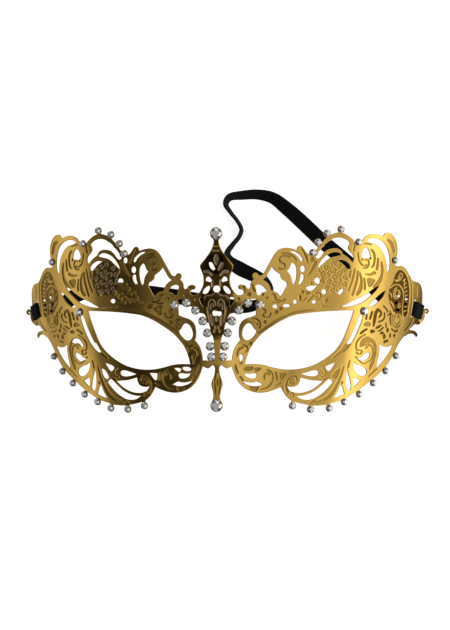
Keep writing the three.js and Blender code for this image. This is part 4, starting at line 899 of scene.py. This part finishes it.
def crystal_mesh(radius):
    """A flat-backed cut stone: table, star, kite and girdle facets, with its foil back down to the sheet."""
    height = STONE_HEIGHT_RATIO * radius

    def ring(count, reach, z, shift):
        turn = 2 * math.pi * (np.arange(count) + shift) / count
        return np.column_stack([reach * np.cos(turn), reach * np.sin(turn), np.full(count, z)])

    rings = [ring(count, reach * radius, share * height, shift) for count, reach, share, shift in STONE_CUT]
    rings.append(ring(16, STONE_BACK["reach"] * radius, STONE_BACK["above_sheet"] - STONE_GAP, 0))
    t, m, g, low, end = 0, 8, 16, 32, 48  # where each ring's corners start
    kites, stars, uppers = [], [], []
    for k in range(8):
        after, before, twice = (k + 1) % 8, (k - 1) % 8, 2 * k
        kites.append([t + k, m + before, g + twice, m + k])
        stars.append([t + k, m + k, t + after])
        uppers.append([m + k, g + twice, g + twice + 1])
        uppers.append([m + k, g + twice + 1, g + (twice + 2) % 16])
    walls = []
    for k in range(16):
        after = (k + 1) % 16
        walls.append([g + k, low + k, low + after, g + after])
        walls.append([low + k, end + k, end + after, low + after])
    faces = [np.array([[t + k for k in range(8)]]), np.array(kites), np.array(stars), np.array(uppers)]
    faces += [np.array(walls), np.array([[end + k for k in range(15, -1, -1)]])]
    mesh = mesh_from("crystal", np.vstack(rings), faces, smooth=False)
    # Painted reflection: one brightness for each facet, which the material turns into colour.
    set_attribute(mesh, "painted_sparkle", np.concatenate(PAINTED_FACET_REFLECTIONS), "FACE")
    return mesh


def band_mesh(name, centres, wide, closed=False):
    """A flat ribbed elastic: a rounded section swept along centres, its width along the wide vectors."""
    centres, wide = np.asarray(centres), np.asarray(wide)
    if closed:
        ahead = unit(np.roll(centres, -1, axis=0) - np.roll(centres, 1, axis=0))
    else:
        ahead = unit(np.gradient(centres, axis=0))
    wide = unit(wide - ahead * (wide * ahead).sum(1, keepdims=True))
    thick = np.cross(ahead, wide)
    half_width, half_thick = STRAP_WIDTH / 2, STRAP_THICKNESS / 2
    across = np.linspace(half_width - STRAP_EDGE, STRAP_EDGE - half_width, STRAP_COLUMNS)
    height = half_thick - STRAP_RIB_DEPTH * np.cos(math.pi * across / STRAP_RIB) ** 2
    inset, rise = STRAP_SELVEDGE["inset"] - half_width, STRAP_SELVEDGE["half_height"]
    end = np.array([[inset, rise], [-half_width, 0.0], [inset, -rise]])
    top = np.column_stack([across, height])
    bottom = np.column_stack([across[::-1], -height])
    section = np.vstack([top, end, bottom, -end])
    count, sides = len(centres), len(section)
    points = centres[:, None] + wide[:, None] * section[:, :1] + thick[:, None] * section[:, 1:]
    turn = np.arange(sides)
    steps = np.arange(count if closed else count - 1)[:, None]
    here, there = steps * sides, (steps + 1) % count * sides
    ahead_of = (turn + 1) % sides
    walls = [here + turn, here + ahead_of, there + ahead_of, there + turn]
    faces = [np.stack(walls, axis=-1).reshape(-1, 4)]
    if not closed:
        faces += [turn[None, ::-1], turn[None] + (count - 1) * sides]
    mesh = mesh_from(name, points.reshape(-1, 3), faces)
    run = np.concatenate([[0], np.cumsum(np.linalg.norm(np.diff(centres, axis=0), axis=1))])
    set_attribute(mesh, "along", np.repeat(run, sides))
    set_attribute(mesh, "across", np.tile(section[:, 0], count))
    return mesh


# ---- strap ------------------------------------------------------------------------------------------


def rail_frame(side):
    at, along, up, out = bend_frames(np.array(side * RAIL["u"]), np.array(RAIL["v"]))
    lean = math.radians(RAIL["lean"])
    return at, along * side * math.cos(lean) - up * math.sin(lean), out


def strap_start(side):
    """Where the strap leaves the back of its loop, and how it drops to the table."""
    at, along, out = rail_frame(side)
    back = SHEET_THICKNESS / 2 + 2 * RAIL_CLEARANCE + STRAP_THICKNESS + STRAP_EXIT["gap"]
    leaves = at - along * RAIL["half_depth"] - out * back
    lies = [leaves[0] - side * STRAP_EXIT["inward"], leaves[1] + STRAP_EXIT["up"], STRAP_EXIT["height"]]
    return [leaves, leaves - out * STRAP_EXIT["straight"], np.array(lies)]


def strap_path():
    """The strap's centre points, and how far its width leans from flat at each, in radians."""
    lying, leans = [], []
    for x, y, lean in STRAP_ROUTE:
        turn = math.radians(lean)
        height = STRAP_LOW + (STRAP_WIDTH * math.sin(turn) + STRAP_THICKNESS * math.cos(turn)) / 2
        lying.append(np.array([x, y, height]))
        leans.append(turn)
    left, right = strap_start(-1), strap_start(1)
    points = np.vstack(left + lying + right[::-1])
    return points, np.array([0.0] * len(left) + leans + [0.0] * len(right))


def even_steps(line, step):
    """The line's points, walked again in even steps, with any columns past the third carried along."""
    run = np.concatenate([[0], np.cumsum(np.linalg.norm(np.diff(line[:, :3], axis=0), axis=1))])
    places = np.linspace(0, run[-1], int(round(run[-1] / step)) + 1)
    return np.column_stack([np.interp(places, run, column) for column in line.T]), run[-1]


def strap():
    points, leans = strap_path()
    steps = 3 * CURVE_STEPS
    smooth = curve_through(points, steps=steps)
    lean = np.interp(np.arange(len(smooth)) / steps, np.arange(len(leans)), leans)
    line, length = even_steps(np.column_stack([smooth, lean]), STRAP_STEP)
    centres = line[:, :3]
    ahead = unit(np.gradient(centres, axis=0))
    flat = unit(np.column_stack([-ahead[:, 1], ahead[:, 0], np.zeros(len(ahead))]))
    rise = np.cross(ahead, flat)
    wide = flat * np.cos(line[:, 3:]) + rise * np.sin(line[:, 3:])
    obj = new_object("elastic_strap", band_mesh("elastic_strap", centres, wide))
    obj.data.materials.append(elastic_material())
    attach(obj, "root")
    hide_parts("strap")
    loops = [strap_loop(side, word) for side, word in ((1, "right"), (-1, "left"))]


def strap_loop(side, word):
    """The strap's folded end round its rail."""
    at, along, out = rail_frame(side)
    straight = RAIL["half_depth"] - SHEET_THICKNESS / 2
    radius = SHEET_THICKNESS / 2 + RAIL_CLEARANCE + STRAP_THICKNESS / 2
    turn = np.linspace(-math.pi / 2, math.pi / 2, LOOP_TURN_POINTS)
    right = np.column_stack([straight + radius * np.cos(turn), radius * np.sin(turn)])
    ring = np.vstack([right, -right, right[:1]])
    ring, _ = even_steps(np.column_stack([ring, np.zeros(len(ring))]), LOOP_STEP)
    ring = ring[:-1]
    centres = at + along * ring[:, :1] + out * ring[:, 1:2]
    wide = np.tile(np.cross(along, out), (len(ring), 1))
    obj = new_object("elastic_loop_" + word, band_mesh("elastic_loop_" + word, centres, wide, closed=True))
    obj.data.materials.append(bpy.data.materials["woven elastic"])
    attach(obj, "root")
    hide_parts("strap_loop_" + word)
    return obj


# ---- materials --------------------------------------------------------------------------------------


class Nodes:
    """A short way to build the nodes of a material or of the world."""

    def __init__(self, owner):
        owner.use_nodes = True
        self.owner = owner
        self.tree = owner.node_tree
        self.shader = self.tree.nodes.get("Principled BSDF")

    def add(self, kind, **settings):
        node = self.tree.nodes.new("ShaderNode" + kind)
        for key, value in settings.items():
            setattr(node, key, value)
        return node

    def feed(self, socket, value):
        if isinstance(value, bpy.types.NodeSocket):
            self.tree.links.new(value, socket)
        else:
            socket.default_value = value

    def math(self, operation, *values):
        node = self.add("Math", operation=operation)
        for socket, value in zip(node.inputs, values):
            self.feed(socket, value)
        return node.outputs[0]

    def attribute(self, name):
        return self.add("Attribute", attribute_name=name).outputs["Fac"]

    def noise(self, scale, detail, roughness=0.55):
        place = self.add("TexCoord").outputs["Object"]
        node = self.add("TexNoise")
        self.feed(node.inputs["Vector"], place)
        node.inputs["Scale"].default_value = scale
        node.inputs["Detail"].default_value = detail
        node.inputs["Roughness"].default_value = roughness
        return node.outputs["Fac"]

    def remap(self, value, low, high, to_low, to_high):
        node = self.add("MapRange", clamp=True)
        for socket, given in zip(node.inputs, (value, low, high, to_low, to_high)):
            self.feed(socket, given)
        return node.outputs[0]

    def mix(self, share, a, b):
        node = self.add("Mix", data_type="RGBA")
        self.feed(node.inputs["Factor"], share)
        self.feed(node.inputs["A"], (*a, 1.0) if isinstance(a, tuple) else a)
        self.feed(node.inputs["B"], (*b, 1.0) if isinstance(b, tuple) else b)
        return node.outputs["Result"]

    def bump(self, height, distance, strength, normal=None):
        node = self.add("Bump")
        node.inputs["Distance"].default_value = distance
        node.inputs["Strength"].default_value = strength
        self.feed(node.inputs["Height"], height)
        if normal is not None:
            self.feed(node.inputs["Normal"], normal)
        return node.outputs[0]

    def set(self, name, value):
        self.feed(self.shader.inputs[name], value)


def gold_material():
    """Polished gold plate, duller and browner where it is half etched, with painted shade round the etched
    areas and in the temple's etching, and painted dark reflection on the pendant and the left brow disc.
    """
    n = Nodes(bpy.data.materials.new("polished gold plate"))
    recess = n.remap(n.attribute("recess"), -0.06, 0.08, 1.0, 0.0)
    # Painted shade: next to the etched areas the plate is mixed up to half way to a dark brown.
    edge = n.remap(n.attribute("recess"), 0.05, 0.3, 0.5, 0.0)
    worn = n.noise(55, 5)
    grain = n.noise(2600, 3, 0.7)
    gold = n.mix(worn, *GOLD)
    gold = n.mix(edge, gold, GOLD_RIM_PAINTED_SHADE)
    dull = n.mix(grain, *ETCHED)
    # Painted shade: the temple's etched ground is made dark brown.
    temple_shade = n.remap(n.attribute("temple"), -0.06, 0.08, 1.0, 0.0)
    dull = n.mix(temple_shade, dull, ETCHED_TEMPLE_PAINTED_SHADE)
    # Painted dark reflection: where the shade attribute is set, the plate goes near black and the etched
    # ground greyer.
    shade = n.attribute("shade")
    gold = n.mix(n.remap(shade, 0.3, 1.0, 0.0, 1.0), gold, GOLD_PAINTED_DARK_REFLECTION)
    dull = n.mix(n.remap(shade, 0.1, 0.3, 0.0, 1.0), dull, ETCHED_IN_PAINTED_REFLECTION)
    n.set("Base Color", n.mix(recess, gold, dull))
    n.shader.inputs["Metallic"].default_value = 1.0
    polish = n.remap(worn, 0.3, 0.7, 0.045, 0.08)
    n.set("Roughness", n.math("ADD", polish, n.remap(recess, 0.0, 1.0, 0.0, 0.3)))
    etched = n.math("MULTIPLY", recess, grain)
    waves = n.bump(n.noise(120, 3), 0.00006, 0.6)
    n.set("Normal", n.bump(etched, 0.00004, 0.6, waves))
    return n.owner


def crystal_material():
    """Clear cut glass over silver foil, with a painted reflection: each facet's brightness turns its base
    colour from near black to white.
    """
    n = Nodes(bpy.data.materials.new("foil-backed crystal"))
    painted_sparkle = n.attribute("painted_sparkle")
    shade = n.math("POWER", painted_sparkle, 1.8)
    painted_glint = n.mix(shade, (0.02, 0.02, 0.022), (1.0, 1.0, 1.0))
    cloud = n.noise(900, 2)
    n.set("Base Color", n.mix(n.remap(cloud, 0.35, 0.65, 0.0, 0.2), painted_glint, (0.5, 0.52, 0.55)))
    n.shader.inputs["Metallic"].default_value = 0.6
    n.set("Roughness", n.remap(cloud, 0.3, 0.7, 0.03, 0.1))
    n.shader.inputs["Coat Weight"].default_value = 1.0
    n.shader.inputs["Coat Roughness"].default_value = 0.02
    return n.owner


def elastic_material():
    """Black knitted elastic with lengthwise ribs and a fine cross weave."""
    n = Nodes(bpy.data.materials.new("woven elastic"))
    along = n.attribute("along")
    across = n.attribute("across")
    row = n.math("SINE", n.math("MULTIPLY", across, 2 * math.pi / STRAP_RIB))
    stagger = n.math("MULTIPLY", row, 0.9)
    pick = n.math("SINE", n.math("ADD", n.math("MULTIPLY", along, 2 * math.pi / STRAP_PICK), stagger))
    weave = n.math("MULTIPLY", n.remap(pick, -1.0, 1.0, 0.0, 1.0), n.remap(row, -1.0, 1.0, 0.35, 1.0))
    fuzz = n.noise(1800, 3)
    thread = n.mix(weave, (0.0015, 0.0015, 0.0015), (0.006, 0.0055, 0.0055))
    n.set("Base Color", n.mix(n.remap(fuzz, 0.45, 0.75, 0.0, 0.5), thread, (0.011, 0.010, 0.010)))
    n.set("Roughness", n.remap(fuzz, 0.3, 0.7, 0.62, 0.9))
    n.shader.inputs["Sheen Weight"].default_value = 0.03
    n.shader.inputs["Sheen Roughness"].default_value = 0.5
    n.shader.inputs["Specular IOR Level"].default_value = 0.06
    n.set("Normal", n.bump(n.math("ADD", weave, n.math("MULTIPLY", fuzz, 0.3)), 0.00012, 0.8))
    return n.owner


# ---- pieces -----------------------------------------------------------------------------------------


def sheet():
    obj = new_object("mask_sheet_fine", sheet_mesh())
    obj.data.materials.append(gold_material())
    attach(obj, "root")
    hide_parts("mask_sheet")


def stones():
    material = crystal_material()
    meshes = {}
    placed = [("stone_" + name, 0.0, v, radius) for name, _, v, radius in CENTRE_STONES]
    for word, side in (("right", 1), ("left", -1)):
        placed += [(f"stone_{word}_{name}", side * u, v, radius) for name, u, v, radius, _, _ in STONES]
    for node, u, v, radius in placed:
        if radius not in meshes:
            meshes[radius] = crystal_mesh(radius)
            meshes[radius].materials.append(material)
        obj = new_object(node.replace("stone", "crystal"), meshes[radius])
        at, along, up, out = bend_frames(np.array(u), np.array(v))
        at = at + out * (SHEET_THICKNESS / 2 + STONE_GAP)
        obj.matrix_world = pose(at * MM, along, up, out)
        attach(obj, "root")
        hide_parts(node)


# ---- stage ------------------------------------------------------------------------------------------


def camera():
    data = bpy.data.cameras.new("camera")
    data.lens = CAMERA_LENS
    data.sensor_width = 36
    data.clip_end = 20
    obj = new_object("camera", data)
    right = np.array([math.cos(CAMERA_TURN), 0, -math.sin(CAMERA_TURN)])
    back = np.cross(right, [0, 1, 0])
    right = right * math.cos(CAMERA_ROLL) - np.array([0, 1, 0]) * math.sin(CAMERA_ROLL)
    up = np.cross(back, right)
    nose = np.array([0, -CENTRE_V, CROWN_HEIGHT])
    place = nose + right * CAMERA_AIM[0] + up * CAMERA_AIM[1] + back * CAMERA_DISTANCE
    obj.matrix_world = pose(place * MM, right, up, back)
    bpy.context.scene.camera = obj


def floor():
    mesh = bpy.data.meshes.new("floor")
    reach = 6.0
    corners = [(-reach, -reach, 0), (reach, -reach, 0), (reach, reach, 0), (-reach, reach, 0)]
    mesh.from_pydata(corners, [], [(0, 1, 2, 3)])
    obj = new_object("floor", mesh)
    n = Nodes(bpy.data.materials.new("white table"))
    n.set("Base Color", n.mix(n.noise(3, 2), (0.3, 0.3, 0.3), (0.33, 0.33, 0.33)))
    n.shader.inputs["Roughness"].default_value = 0.9
    n.shader.inputs["Emission Color"].default_value = (1, 1, 1, 1)
    n.shader.inputs["Emission Strength"].default_value = 0.9
    mesh.materials.append(n.owner)
    obj.visible_glossy = False


def studio():
    """A light tent: cards and cloths in strips from the left end of the mask over its front to the right."""
    world = bpy.data.worlds.new("studio")
    bpy.context.scene.world = world
    n = Nodes(world)
    n.tree.nodes.clear()

    def strips(angle, bands):
        """Brightness by an angle in radians, from (degrees, level) stops."""
        node = n.add("ValToRGB")
        n.feed(node.inputs[0], n.remap(angle, -math.pi, math.pi, 0.0, 1.0))
        stops = node.color_ramp.elements
        while len(stops) < len(bands):
            stops.new(0.5)
        for stop, (degrees, _) in zip(stops, bands):
            stop.position = (degrees + 180) / 360
        for stop, (_, level) in zip(stops, bands):
            stop.color = (level, level, level, 1)
        return node.outputs[0]

    def background(colour):
        node = n.add("Background")
        n.feed(node.inputs["Color"], colour)
        return node.outputs[0]

    split = n.add("SeparateXYZ")
    n.feed(split.inputs[0], n.add("TexCoord").outputs["Generated"])
    x, y, z = split.outputs
    across = n.math("ARCTAN2", x, z)
    upward = n.math("ARCSINE", y)
    chin, level, forehead = (strips(across, row) for row in (CHIN_STRIPS, LEVEL_STRIPS, FOREHEAD_STRIPS))
    light = n.mix(strips(upward, CHIN_FADE), chin, level)
    light = n.mix(strips(upward, FOREHEAD_FADE), light, forehead)
    seen_by_camera = n.add("LightPath").outputs["Is Camera Ray"]
    shown = n.add("MixShader")
    sources = (seen_by_camera, background(light), background(BACKDROP))
    for socket, value in zip(shown.inputs, sources):
        n.feed(socket, value)
    n.feed(n.add("OutputWorld").inputs[0], shown.outputs[0])


def area_light(name, place, aim, size, power):
    data = bpy.data.lights.new(name, "AREA")
    data.shape = "RECTANGLE"
    data.size, data.size_y = size
    data.energy = power
    obj = new_object(name, data)
    back = unit(np.array(place, float) - np.array(aim, float))
    right = unit(np.cross([0, 1, 0], back))
    obj.matrix_world = pose(place, right, np.cross(back, right), back)
    obj.visible_glossy = False


camera()
strap()
sheet()
stones()
floor()
studio()
area_light("right softbox", place=(0.95, 0.35, 1.05), aim=(0, 0, 0), size=(1.3, 1.3), power=26)
bpy.context.scene.view_settings.view_transform = "Standard"
